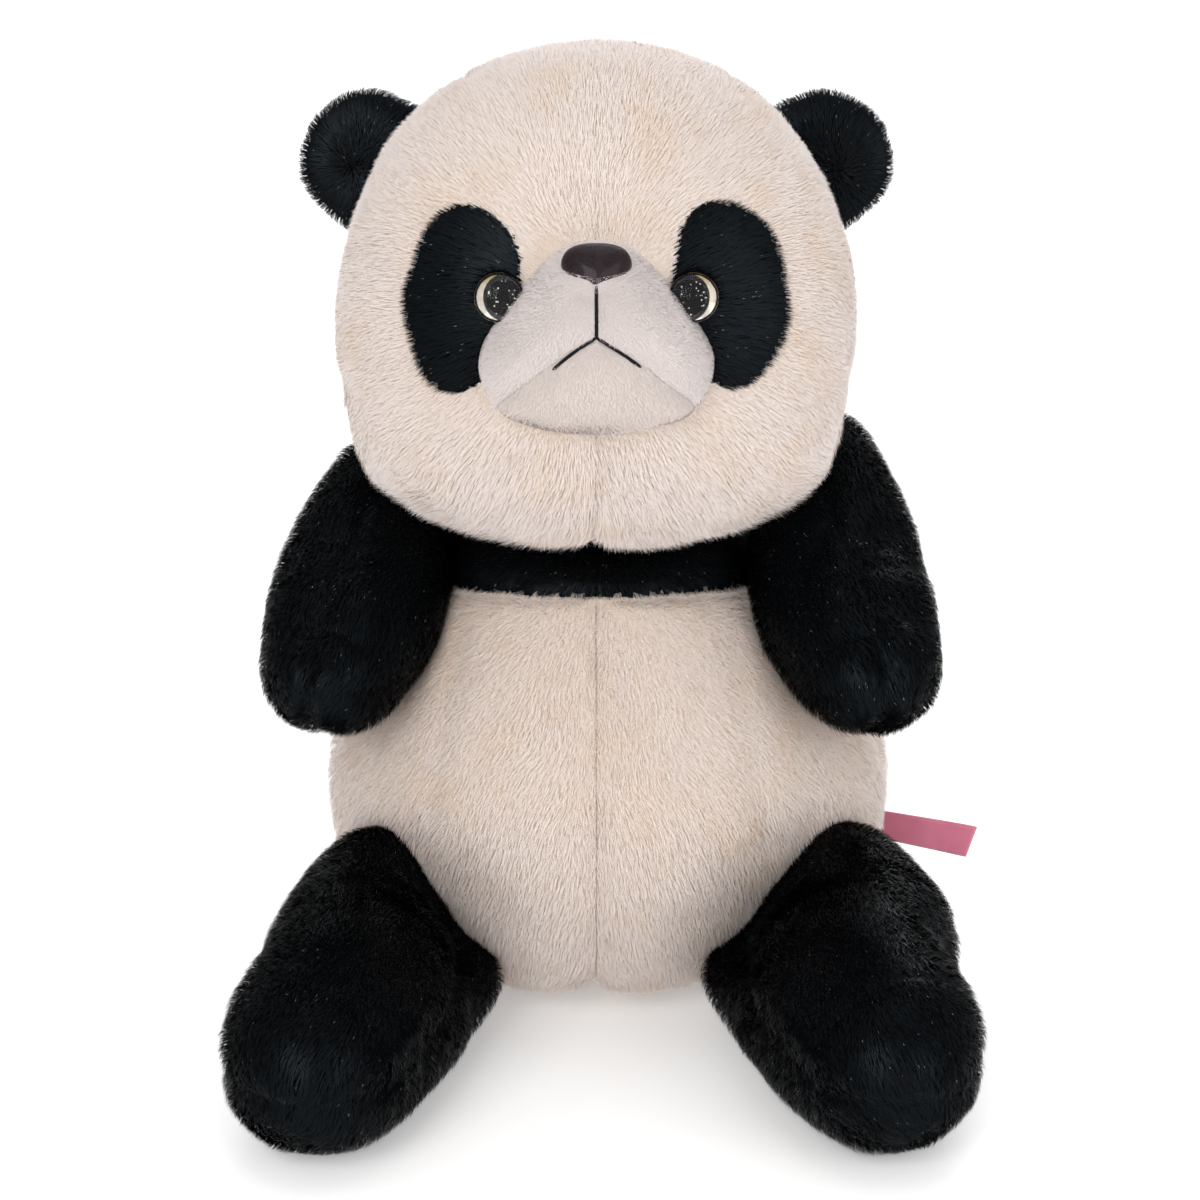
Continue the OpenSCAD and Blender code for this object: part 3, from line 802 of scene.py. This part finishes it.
def head_tweak(co):
    """Full cheeks and jowls, and a slightly higher crown."""
    q = face_local(co)
    low = q[:, 2] / MM
    full = 0.075 * np.exp(-((low + 55) / 30) ** 2) + 0.02 * np.exp(-((low + 10) / 30) ** 2)
    full += 0.10 * ramp(-low, 40, 85) + 0.15 * ramp(-low, 25, 90) + 0.02 * ramp(low, 30, 80)
    q[:, 0] *= 1 + full
    q[:, 1] *= 1 + 0.03 * np.exp(-((low + 50) / 30) ** 2) * (q[:, 1] < 0)
    q[:, 2] += (6.5 * ramp(low, 0, 80) + 2.5 * ramp(-low, 60, 95)) * MM
    return face_world(q)


torso = soft_form("torso_form", TORSO_NODES, 5.0, 4.5, tweak=torso_tweak, egg=True)
head = soft_form("head_form", HEAD_NODES, 5.0, 4.5, tweak=head_tweak)


def muzzle_form():
    """A pear of its own: narrow under the nose, full at the jowls."""
    panel = face_local(arrays(frame["nodes"]["muzzle_panel"].data)[0])
    low, high = panel.min(0), panel.max(0)
    chin = face_local(arrays(frame["nodes"]["chin_panel"].data)[0])[:, 2].min()
    depth, inset = 35 * MM, 1.6 * MM
    half = np.array([(high[0] - low[0]) / 2, depth, (high[2] - chin) / 2]) - inset
    centre = np.array([0, low[1] + depth, (high[2] + chin) / 2])
    bm = bmesh.new()
    bmesh.ops.create_icosphere(bm, subdivisions=5, radius=1.0)
    me = bpy.data.meshes.new("muzzle_form")
    bm.to_mesh(me)
    bm.free()
    me.polygons.foreach_set("use_smooth", [True] * len(me.polygons))
    co = arrays(me)[0]
    waist = 1.0 + 0.15 * np.exp(-((co[:, 2] + 0.55) / 0.38) ** 2) - 0.27 * ramp(co[:, 2], -0.25, 0.75)
    waist += 0.34 * np.exp(-((co[:, 2] + 0.88) / 0.22) ** 2)
    co[:, 0] *= waist
    move_points(me, face_world(centre + co * half))
    return new_object("muzzle_form", me)


muzzle = muzzle_form()
tail = soft_form("tail_form", ("tail_skin", "tail_stuffing"), 3.0, 4.0, smooth=3)
neck = soft_form("neck_fill", ("neck_plug",), 3.5, 1.0)
arms, legs, ears = {}, {}, {}
ARM, LEG = {}, {}
for side, s in SIDES:
    arm_nodes = tuple(f"arm_{k}_{side}" for k in ("outer_panel", "inner_panel", "stuffing"))
    leg_nodes = tuple(f"leg_{k}_{side}" for k in ("top_panel", "bottom_panel", "stuffing"))
    ARM[side] = limb_axis(arm_nodes, joints["arm_spread_" + side])
    LEG[side] = limb_axis(leg_nodes, joints["leg_lift_" + side])
    arms[side] = soft_form("arm_form_" + side, arm_nodes, 4.5, 4.0, tweak=arm_tweak(s))
    legs[side] = soft_form("leg_form_" + side, leg_nodes, 5.0, 4.5, tweak=leg_tweak(s))
    ears[side] = soft_form("ear_form_" + side, (f"ear_front_{side}", f"ear_back_{side}"), 2.6, 1.6, smooth=3,
                           tweak=ear_tweak(s))


# ---------- where the seams run ----------

def nearest(*distances):
    return np.minimum.reduce([np.abs(d) for d in distances])


FAR = 1.0  # a distance in metres that is past every seam


def yoke_edge(p):
    """Height above the curved seam between the cream body and the black shoulders."""
    return p[:, 2] - (YOKE_Z - (p[:, 1] - TORSO_Y) * math.tan(YOKE_TILT))


def torso_seams(p):
    """The middle seams, the side seams and the yoke's edge."""
    x, y = p[:, 0], p[:, 1]
    cream = yoke_edge(p) < 0
    centre = np.where(cream, x, FAR)
    sides = np.where((np.abs(x) > 40 * MM) & cream, y - TORSO_Y, FAR)
    return nearest(centre, sides, yoke_edge(p))


def torso_folds(p):
    """The soft creases beside the belly."""
    x, y, z = p.T
    fold_x = 50 * MM + (YOKE_Z - z) * 0.2
    return np.where((y < TORSO_Y) & (z > 0.085) & (yoke_edge(p) < 0), np.abs(np.abs(x) - fold_x), FAR)


def head_seams(p):
    """The seam under the chin, the one down the back, and the one over the head from ear to ear."""
    x, y, z = face_local(p).T
    chin = np.where((y < 0) & (z < -40 * MM), x, FAR)
    back = np.where(y > 0, x, FAR)
    return nearest(chin, back, y)


def head_darts(p):
    """The two darts from the forehead over the top."""
    x, y, z = face_local(p).T
    dart_x = 47 * MM + (z - 60 * MM) * 0.12
    return np.where((z > 38 * MM) & (y < 40 * MM), np.abs(np.abs(x) - dart_x), FAR)


def patch_oval(p, s):
    """Below 1 inside one eye patch."""
    x, y, z = face_local(p).T
    x, z = x * s - 48 * MM, z - (2.6 if s > 0 else 0.8) * MM
    lean = math.radians(-6)
    a, b = x * math.cos(lean) - z * math.sin(lean), x * math.sin(lean) + z * math.cos(lean)
    wave = 1 + 0.03 * np.sin(5 * np.arctan2(b, a) + s)
    return np.where(y < 0, np.sqrt((a / (21.2 * MM)) ** 2 + (b / (33.8 * MM)) ** 2) * wave, 9)


MOUTH_FORK, MOUTH_TURN = -15 * MM, 0.73


def chin_edge(p):
    """Height above the seam between muzzle and chin, an upside-down V."""
    x, _, z = face_local(p).T
    return z - (MOUTH_FORK - MOUTH_TURN * np.abs(x) - 3 * MM * np.exp(-(x / (9 * MM)) ** 2) + 3 * MM)


def muzzle_seams(p):
    """The lip's upright seam and the chin's edge."""
    x, y, z = face_local(p).T
    lip = np.where((z > MOUTH_FORK) & (z < 2 * MM) & (y < -0.1), x, FAR)
    return nearest(lip, chin_edge(p))


def limb_seams(start, across):
    return lambda p: np.abs((p - start) @ across)


def sole_seam(start, axis):
    return lambda p: np.abs((p - start) @ axis - 98 * MM)


def across_of(axis, hint):
    """A direction square to a limb, in the plane that its two panels meet in."""
    return unit(np.cross(axis, hint))


ARM_ACROSS, LEG_ACROSS, EAR_Y, seams = {}, {}, {}, {}
for side, s in SIDES:
    a0, _, a_axis = ARM[side]
    l0, _, l_axis = LEG[side]
    ARM_ACROSS[side] = across_of(a_axis, across_of(a_axis, (0, 0, 1)))
    LEG_ACROSS[side] = across_of(l_axis, across_of(l_axis, (0, 0, 1)))
    seams["arm_" + side] = limb_seams(a0, across_of(a_axis, (0, 0, 1)))
    seams["leg_" + side] = limb_seams(l0, LEG_ACROSS[side])
    seams["sole_" + side] = sole_seam(l0, l_axis)
    EAR_Y[side] = face_local(joints["ear_fold_" + side])[1]
    seams["ear_" + side] = lambda p, y=EAR_Y[side]: np.abs(face_local(p)[:, 1] - y)

inflate([(torso, torso_seams, 0.03, 5.0, 4.5), (head, head_seams, 0.03, 5.0, 4.5),
         (tail, None, 0, 5.0, 3.0), (muzzle, muzzle_seams, 0.05, 3.0, 1.6)]
        + [(arms[k], seams["arm_" + k], 0.06, 5.0, 4.0) for k in arms]
        + [(legs[k], seams["leg_" + k], 0.05, 5.0, 4.5) for k in legs]
        + [(ears[k], seams["ear_" + k], 0.05, 3.0, 2.6) for k in ears])

groove(torso, torso_seams, 1.9, 3.0, 0.5)
groove(torso, torso_folds, 0.9, 4.5, 0.0, lumps=0)
groove(head, head_seams, 0.9, 2.6, 0.3)
groove(head, head_darts, 0.5, 2.2, 0.1, lumps=0)
groove(muzzle, muzzle_seams, 0.5, 1.6, 0.1)
for side in arms:
    groove(arms[side], seams["arm_" + side], 1.0, 2.6, 0.5)
    groove(legs[side], seams["leg_" + side], 1.0, 3.0, 0.5)
    groove(legs[side], seams["sole_" + side], 0.7, 2.6, 0.2, lumps=0)
    groove(ears[side], seams["ear_" + side], 0.6, 2.0, 0.2)
limbs = list(arms.values()) + list(legs.values())
clear_of(torso, limbs + [head, tail], 1.0 * MM)
for ob in [torso, tail] + list(legs.values()):
    co = arrays(ob.data)[0]
    co[:, 2] = np.maximum(co[:, 2], 0.8 * MM)
    move_points(ob.data, co)


# ---------- panels and their fur ----------

def torso_label(prefix):
    def label(p):
        left, front = p[:, 0] < 0, p[:, 1] < TORSO_Y
        return pick_name((yoke_edge(p) > 0, f"yoke_{prefix}"), (p[:, 2] < 5 * MM, f"seat_{prefix}"),
                         (left & front, f"belly_{prefix}_left"), (front, f"belly_{prefix}_right"),
                         (left, f"back_{prefix}_left"), f"back_{prefix}_right")
    return label


def head_label(prefix):
    def label(p):
        q = face_local(p)
        return pick_name((patch_oval(p, -1) < 1, f"patch_{prefix}_left"),
                         (patch_oval(p, 1) < 1, f"patch_{prefix}_right"),
                         (q[:, 1] > 0, f"head_back_{prefix}"), (q[:, 0] < 0, f"face_{prefix}_left"),
                         f"face_{prefix}_right")
    return label


def muzzle_label(prefix):
    return lambda p: pick_name((chin_edge(p) < 0, f"chin_{prefix}"), f"muzzle_{prefix}")


CREAM, BLACK = (cream_backing, "cream_pile"), (black_backing, "black_pile")


def black_or_cream(key):
    return BLACK if key.startswith(("yoke", "patch")) else CREAM


sew_panels(torso, "torso", torso_label("skin"), {
    "yoke_skin": "shoulder_yoke", "seat_skin": "seat_panel",
    "belly_skin_left": "belly_panel_left", "belly_skin_right": "belly_panel_right",
    "back_skin_left": "back_panel_left", "back_skin_right": "back_panel_right"}, black_or_cream)
fill_form(torso, "torso_fill", "torso", "torso_stuffing", 2.2)
sew_panels(head, "head", head_label("skin"), {
    "patch_skin_left": "eye_patch_left", "patch_skin_right": "eye_patch_right",
    "head_back_skin": "head_back_panel",
    "face_skin_left": "face_panel_left", "face_skin_right": "face_panel_right"}, black_or_cream)
fill_form(head, "head_fill", "head", "head_stuffing", 2.2)
sew_panels(muzzle, "head", muzzle_label("skin"), {"muzzle_skin": "muzzle_panel", "chin_skin": "chin_panel"},
           (muzzle_backing, "muzzle_pile"), thick=0.9)
fill_form(muzzle, "muzzle_fill", "head", "muzzle_stuffing", 1.6)

DOWN = np.array([0.0, 0.0, -1.0])


def head_flow(p):
    """Away from a point just above the nose, and down."""
    away = face_local(p) * [1, 0.15, 1] - [0, 0, -13 * MM]
    return unit(away) @ FACE.T + DOWN * 0.25


def torso_flow(p):
    """Down, and a little out from the middle."""
    return DOWN + np.sign(p[:, :1]) * [0.25, 0, 0]


def trimmed(ob, others, full, least=0.25, reach=7):
    """Fur length in mm: full, but shorter where another skin is near, and none inside it."""
    co = arrays(ob.data)[0]
    near = clearance(co, others, reach * MM)
    index_at = point_tree(co)

    def length(p):
        d = near[index_at(p)] / MM
        size = full(p) if callable(full) else np.full(len(p), float(full))
        return np.where(d < -0.5, 0, size * np.clip(least + (1 - least) * d / reach, least, 1))
    return length


def torso_length(p):
    """Shorter along the seams, and pressed short under the seat."""
    dip = np.exp(-(torso_seams(p) / (3 * MM)) ** 2)
    return 5.6 * (1 - 0.4 * dip) * np.where(p[:, 2] < 6 * MM, 0.35, 1)


EYES = [face_local(middle_of("eye_base_" + side)) for side, _ in SIDES]


def head_length(p):
    """Longest at the chin, shorter at the seams and round the patches, and none over the eyes."""
    dip = np.exp(-(head_seams(p) / (2.5 * MM)) ** 2)
    q = face_local(p)
    low = ramp(-q[:, 2], 40 * MM, 85 * MM)
    patch = np.minimum(patch_oval(p, -1), patch_oval(p, 1))
    size = np.where(patch < 1, 5.0, 4.4 + 4.6 * low)
    for eye in EYES:
        off = q - eye
        clear = ramp(np.hypot(off[:, 0], off[:, 2]) / MM, 7.6, 9.4)
        size = size * np.where(q[:, 1] < 0, clear, 1)
    edge = np.exp(-((patch - 1.0) / 0.10) ** 2)
    return size * (1 - 0.25 * dip) * (1 - 0.35 * edge)


def in_patch(p):
    return np.minimum(patch_oval(p, -1), patch_oval(p, 1)) < 1


torso_hair = trimmed(torso, [head, tail] + limbs, torso_length)
for part, mat, slot, want in (("yoke", black_pile, "black_pile", lambda p: yoke_edge(p) > 0),
                              ("body", cream_pile, "cream_pile", lambda p: yoke_edge(p) <= 0)):
    grow("torso_" + part, torso, "torso", mat, torso_label("fur"), 1.5,
         lambda p, want=want: torso_hair(p) * want(p), torso_flow, tuft=0.08, wild=0.15)
head_near = list(arms.values()) + list(ears.values()) + [muzzle]
head_hair = trimmed(head, head_near, head_length, least=0.55, reach=4)
for part, mat, slot, density, want in (("patch", black_pile, "black_pile", 2.4, in_patch),
                                       ("face", cream_pile, "cream_pile", 2.0, lambda p: ~in_patch(p))):
    grow("head_" + part, head, "head", mat, head_label("fur"), density,
         lambda p, want=want: head_hair(p) * want(p), head_flow, clump=2.8, tuft=0.05, wild=0.13)


def muzzle_length(p):
    return 1.5 * (0.5 + 0.5 * ramp(muzzle_seams(p) / MM, 0.2, 1.6))


def muzzle_flow(p):
    """Away from the nose, and down."""
    away = face_local(p) * [1, 0, 1] - [0, 0, 10 * MM]
    return unit(away) @ FACE.T + DOWN * 0.3


# the chin's strands get the muzzle pile with painted shade
for part, mat, rule in (("muzzle", muzzle_pile, lambda p: chin_edge(p) >= 0),
                        ("chin", chin_pile, lambda p: chin_edge(p) < 0)):
    grow("muzzle_" + part, muzzle, "head", mat, muzzle_label("fur"), 3.6,
         lambda p, rule=rule: muzzle_length(p) * rule(p), muzzle_flow, width=0.17, clump=2.2, tuft=0.1,
         wild=0.3, sink=0.3)



def two_panels(limb, kind, side, one, other, in_one, thick=1.2):
    """A limb or ear sewn from two black panels, with names such as arm_outer_skin_left."""
    def label(prefix):
        return lambda p: pick_name((in_one(p), f"{kind}_{one}_{prefix}_{side}"),
                                   f"{kind}_{other}_{prefix}_{side}")
    panel = "" if kind == "ear" else "_panel"
    sew_panels(limb, f"{kind}_{side}", label("skin"), {
        f"{kind}_{half}_skin_{side}": f"{kind}_{half}{panel}_{side}" for half in (one, other)}, BLACK, thick)
    return label("fur")


for side, s in SIDES:
    start, _, axis = ARM[side]
    fur_label = two_panels(arms[side], "arm", side, "outer", "inner",
                           lambda p: (p - start) @ (ARM_ACROSS[side] * s) > 0)
    fill_form(arms[side], f"arm_fill_{side}", "arm_" + side, f"arm_stuffing_{side}", 2.2)
    grow("arm_" + side, arms[side], "arm_" + side, black_pile, fur_label, 1.7,
         trimmed(arms[side], [torso, head], 5.8), lambda p: axis + 0 * p)

    start, _, axis = LEG[side]
    across = across_of(axis, LEG_ACROSS[side])
    up = across * np.sign(across[2])
    fur_label = two_panels(legs[side], "leg", side, "top", "bottom", lambda p: (p - start) @ up > 0)
    fill_form(legs[side], f"leg_fill_{side}", "leg_" + side, f"leg_stuffing_{side}", 2.2)
    leg_hair = trimmed(legs[side], [torso], 5.8)
    grow("leg_" + side, legs[side], "leg_" + side, black_pile, fur_label, 1.5,
         lambda p: leg_hair(p) * np.clip((p[:, 2] / MM) / 9, 0.25, 1), lambda p: axis + DOWN * 0.4 + 0 * p)

    ear_middle = (middle_of("ear_front_" + side) + middle_of("ear_back_" + side)) / 2
    fur_label = two_panels(ears[side], "ear", side, "front", "back",
                           lambda p: face_local(p)[:, 1] < EAR_Y[side], thick=1.0)
    grow("ear_" + side, ears[side], "ear_" + side, black_pile, fur_label, 2.4,
         trimmed(ears[side], [head], 4.2, least=0.4, reach=4), lambda p: unit(p - ear_middle), tilt=56)

sew_panels(tail, "tail", one_name("tail_fabric"), {"tail_fabric": "tail_skin"}, CREAM)
fill_form(tail, "tail_fill", "tail", "tail_stuffing", 2.0)
grow("tail", tail, "tail", cream_pile, one_name("tail_fur"), 1.1,
     trimmed(tail, [torso], 6.5), lambda p: DOWN + 0 * p)
dressed(neck, fibre_fill)
modified(neck, "SUBSURF", levels=1, render_levels=1)
co, no, _ = arrays(neck.data)
move_points(neck.data, co + no * (noise(co, 8 * MM, 9) * 0.5 * MM)[:, None])
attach(neck, "neck")
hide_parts("neck_plug")


# ---------- nose, mouth and eyes ----------

muzzle_tree = surface_tree(muzzle)[0]
OUT = FACE @ np.array([0.0, -1.0, 0.0])


def on_muzzle(x, z):
    """The muzzle's surface and its normal in front of face-frame x, z, in metres."""
    start = face_world(np.array([[x + 1e-5, -0.2, z + 1e-5]]))[0]
    at, normal, _, _ = muzzle_tree.ray_cast(Vector(start), Vector(-OUT))
    return np.array(at), np.array(normal)


def ring_faces(inner, outer, steps):
    """Faces between two closed rings of points, given by their first points."""
    return [(inner + k, outer + k, outer + (k + 1) % steps, inner + (k + 1) % steps) for k in range(steps)]


def nose():
    """A rounded triangle with a low dome, in rings from its middle out, and a flat back on the fabric."""
    at = on_muzzle(0, 12.9 * MM)[0]
    lean = math.radians(19 + 24)
    ahead = np.array([0, -math.cos(lean), math.sin(lean)])
    upward = np.array([0, math.sin(lean), math.cos(lean)])
    right = np.array([1.0, 0, 0])
    half_wide, half_up, half_down, dome = 12.7, 7.8, 13.6, 6.2
    rings, steps = 26, 96
    verts, faces = [], []
    for i in range(rings + 1):
        rho = i / rings
        rise = dome * (1 - rho ** 2.2) ** 0.60 - (1.6 if i < rings else 2.4)
        for k in range(steps):
            a = 2 * math.pi * k / steps
            c, s = math.cos(a), math.sin(a)
            if s < 0:
                x, y = half_wide * math.copysign((1 - abs(s) ** 1.5) ** 0.72, c), half_down * s
            else:
                x, y = half_wide * math.copysign(abs(c) ** 0.78, c), half_up * s ** 0.86
            verts.append(at + (right * x * rho + upward * y * rho + ahead * rise) * MM)
    for i in range(rings):
        faces += ring_faces(i * steps, (i + 1) * steps, steps)
    first = len(verts)
    for depth, share in ((-4.2, 0.96), (-4.8, 0.6)):
        for k in range(steps):
            p = verts[rings * steps + k] - at
            flat = p - ahead * (p @ ahead)
            verts.append(at + flat * share + ahead * depth * MM)
    faces += ring_faces(rings * steps, first, steps) + ring_faces(first, first + steps, steps)
    faces.append(tuple(first + steps + k for k in range(steps)))
    me = mesh_of("nose_dome", verts, faces)
    welded(me, 1e-7, outward=True)
    ob = new_object("nose_dome", me)
    me.materials.append(leather_plastic())
    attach(ob, "head")
    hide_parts("nose")


def stitched_line(points, width, height, taper=0.5):
    """A raised embroidered line over the muzzle: short satin stitches across a curve."""
    line = []
    for (x0, z0), (x1, z1) in zip(points, points[1:]):
        n = max(2, int(math.hypot(x1 - x0, z1 - z0) / 0.25))
        line += [(x0 + (x1 - x0) * i / n, z0 + (z1 - z0) * i / n) for i in range(n)]
    line.append(points[-1])
    for _ in range(6):
        line = [line[0]] + [((a[0] + b[0] + c[0]) / 3, (a[1] + b[1] + c[1]) / 3)
                            for a, b, c in zip(line, line[1:], line[2:])] + [line[-1]]
    placed = [on_muzzle(x * MM, z * MM) for x, z in line]
    verts, faces, around = [], [], 10
    for i, (at, normal) in enumerate(placed):
        before, after = placed[max(0, i - 1)][0], placed[min(len(placed) - 1, i + 1)][0]
        run = unit(after - before)
        side = unit(np.cross(run, normal))
        end = min(i, len(placed) - 1 - i) / 5
        size = (taper + (1 - taper) * min(1, end)) * (1 + 0.10 * math.sin(i * 1.9))
        for k in range(around):
            a = 2 * math.pi * k / around
            verts.append(at + (side * math.cos(a) * width / 2 * size
                               + normal * (math.sin(a) * height * size + 0.25)) * MM)
    for i in range(len(placed) - 1):
        for k in range(around):
            j = (k + 1) % around
            faces.append((i * around + k, i * around + j, (i + 1) * around + j, (i + 1) * around + k))
    faces += [tuple(range(around - 1, -1, -1)), tuple((len(placed) - 1) * around + k for k in range(around))]
    return verts, faces


def mouth():
    """The upright line under the nose and the two lines that part from it, in face-frame mm."""
    verts, faces = [], []
    for points in ([(0, 4), (0, -8), (0, -15.0)], [(0, -14.2), (-7, -18.6), (-15.4, -25.6)],
                   [(0, -14.2), (7, -18.6), (15.8, -24.8)]):
        more, sides = stitched_line(points, 1.35, 0.55)
        faces += [tuple(i + len(verts) for i in f) for f in sides]
        verts += more
    me = mesh_of("mouth_stitches", verts, faces)
    me.materials.append(black_thread)
    ob = new_object("mouth_stitches", me)
    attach(ob, "head")
    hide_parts("mouth_thread")


def lathe(name, profile, centre, axis, mat, steps=72):
    """A turned ring or cap: profile is (radius, height along axis) in mm."""
    one = unit(np.cross(axis, [0.3, 0.1, 1.0]))
    two = np.cross(axis, one)
    verts, faces, n = [], [], len(profile)
    for k in range(steps):
        a = 2 * math.pi * k / steps
        for r, h in profile:
            verts.append(centre + (one * math.cos(a) * r + two * math.sin(a) * r + axis * h) * MM)
    for k in range(steps):
        j = (k + 1) % steps
        for i in range(n):
            m = (i + 1) % n
            faces.append((k * n + i, k * n + m, j * n + m, j * n + i))
    me = mesh_of(name, verts, faces)
    me.materials.append(mat)
    return new_object(name, me)


nose()
mouth()
rim_black = rim_material()
for side, _ in SIDES:
    co = arrays(frame["nodes"]["eye_base_" + side].data)[0]
    ahead = co @ OUT
    top = co[ahead > ahead.max() - 0.05 * MM].mean(0)
    angles = [math.tau * i / 12 for i in range(12)]
    ring = [(8.5 + 0.6 * math.cos(a), -0.6 + 0.8 * math.sin(a)) for a in angles]
    rim = lathe("eye_rim_" + side, ring, top, OUT, rim_black)
    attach(rim, "head")


# ---------- ribbon ----------

def ribbon():
    """A loop of satin: out along one side (u below 1) and back along the other, with a soft fold between."""
    low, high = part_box("side_ribbon")
    hinge = joints["ribbon_flap"]
    turn = math.radians(-28)
    run = np.array([math.cos(turn), math.sin(turn), 0])
    across = np.array([-math.sin(turn), math.cos(turn), 0])
    length, width = 53.0, (high.z - low.z) / MM + 0.6
    steps, rows = 60, 10
    verts, faces = [], []
    for i in range(2 * steps + 1):
        u = i / steps
        side = 1 if u <= 1 else -1
        t = u if u <= 1 else 2 - u
        fold = math.sqrt(max(0.0, 1 - t ** 14))
        for k in range(rows + 1):
            w = k / rows - 0.5
            sag = -3.2 + 0.8 * t * t - 0.8 * t * w
            curl = 1.6 * math.sin(2.2 * t + 0.4) * t + 0.9 * w * t
            reach = length * t - 4.0 * (t ** 6) * (0.5 - w)
            off = side * 0.42 * fold + curl
            height = np.array([0, 0, w * width * (0.80 + 0.20 * t) + sag])
            verts.append(hinge + (run * reach + across * off + height) * MM)
    for i in range(2 * steps):
        for k in range(rows):
            a = i * (rows + 1) + k
            faces.append((a, a + 1, a + rows + 2, a + rows + 1))
    ob = new_object("ribbon_tab", mesh_of("ribbon_tab", verts, faces))
    modified(ob, "SOLIDIFY", thickness=0.22 * MM, offset=0)
    ob.data.materials.append(satin_material())
    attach(ob, "ribbon")
    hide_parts("side_ribbon")


ribbon()

for form in [torso, head, muzzle, tail] + list(arms.values()) + list(legs.values()) + list(ears.values()):
    bpy.data.objects.remove(form)


# ---------- floor, light, camera ----------

def floor():
    """A plain pale floor, 12 m square, half a millimetre under the frame's zero."""
    steps, half = 24, 6.0
    row = steps + 1
    line = [-half + 2 * half * i / steps for i in range(row)]
    verts = [(x, y, -0.5 * MM) for y in line for x in line]
    faces = [(j * row + i, j * row + i + 1, (j + 1) * row + i + 1, (j + 1) * row + i)
             for j in range(steps) for i in range(steps)]
    ob = new_object("floor", mesh_of("floor", verts, faces))
    ob.data.materials.append(material("pale_floor", (0.94, 0.94, 0.94), 0.8, Emission_Color=(1, 1, 1, 1),
                                      Emission_Strength=0.25))


def area_light(name, at, target, size, power, color=(1, 1, 1)):
    data = bpy.data.lights.new(name, "AREA")
    data.shape, data.size, data.energy, data.color = "SQUARE", size, power, color
    ob = bpy.data.objects.new(name, data)
    ob.location = at
    ob.rotation_euler = (Vector(target) - Vector(at)).to_track_quat("-Z", "Y").to_euler()
    scene.collection.objects.link(ob)


floor()
middle = (0, 0, 0.19)
area_light("key_softbox", (-0.8, -2.0, 1.5), middle, 1.2, 26)
area_light("low_bounce", (-0.1, -1.8, 0.15), middle, 1.2, 3.5, (1.0, 0.70, 0.48))
area_light("fill_softbox", (1.5, -1.6, 1.0), middle, 1.4, 14, (0.97, 0.98, 1.0))
area_light("top_softbox", (0.1, 0.1, 2.2), middle, 1.5, 7)
area_light("back_softbox", (0.4, 2.0, 1.3), middle, 1.4, 18)
world = bpy.data.worlds.new("studio")
world.use_nodes = True
world.node_tree.nodes["Background"].inputs[0].default_value = (1, 1, 1, 1)
world.node_tree.nodes["Background"].inputs[1].default_value = 0.65
scene.world = world
scene.view_settings.view_transform = "Standard"

TARGET = Vector((0.0, -0.0156, 0.180))
ELEVATION, DISTANCE = math.radians(22), 1.5
eye = TARGET + Vector((0, -math.cos(ELEVATION), math.sin(ELEVATION))) * DISTANCE
camera = bpy.data.objects.new("camera", bpy.data.cameras.new("camera"))
camera.location = eye
camera.rotation_euler = (TARGET - eye).to_track_quat("-Z", "Y").to_euler()
camera.data.lens = 117
camera.data.sensor_width = 36
camera.data.shift_x = 0.003
scene.collection.objects.link(camera)
scene.camera = camera
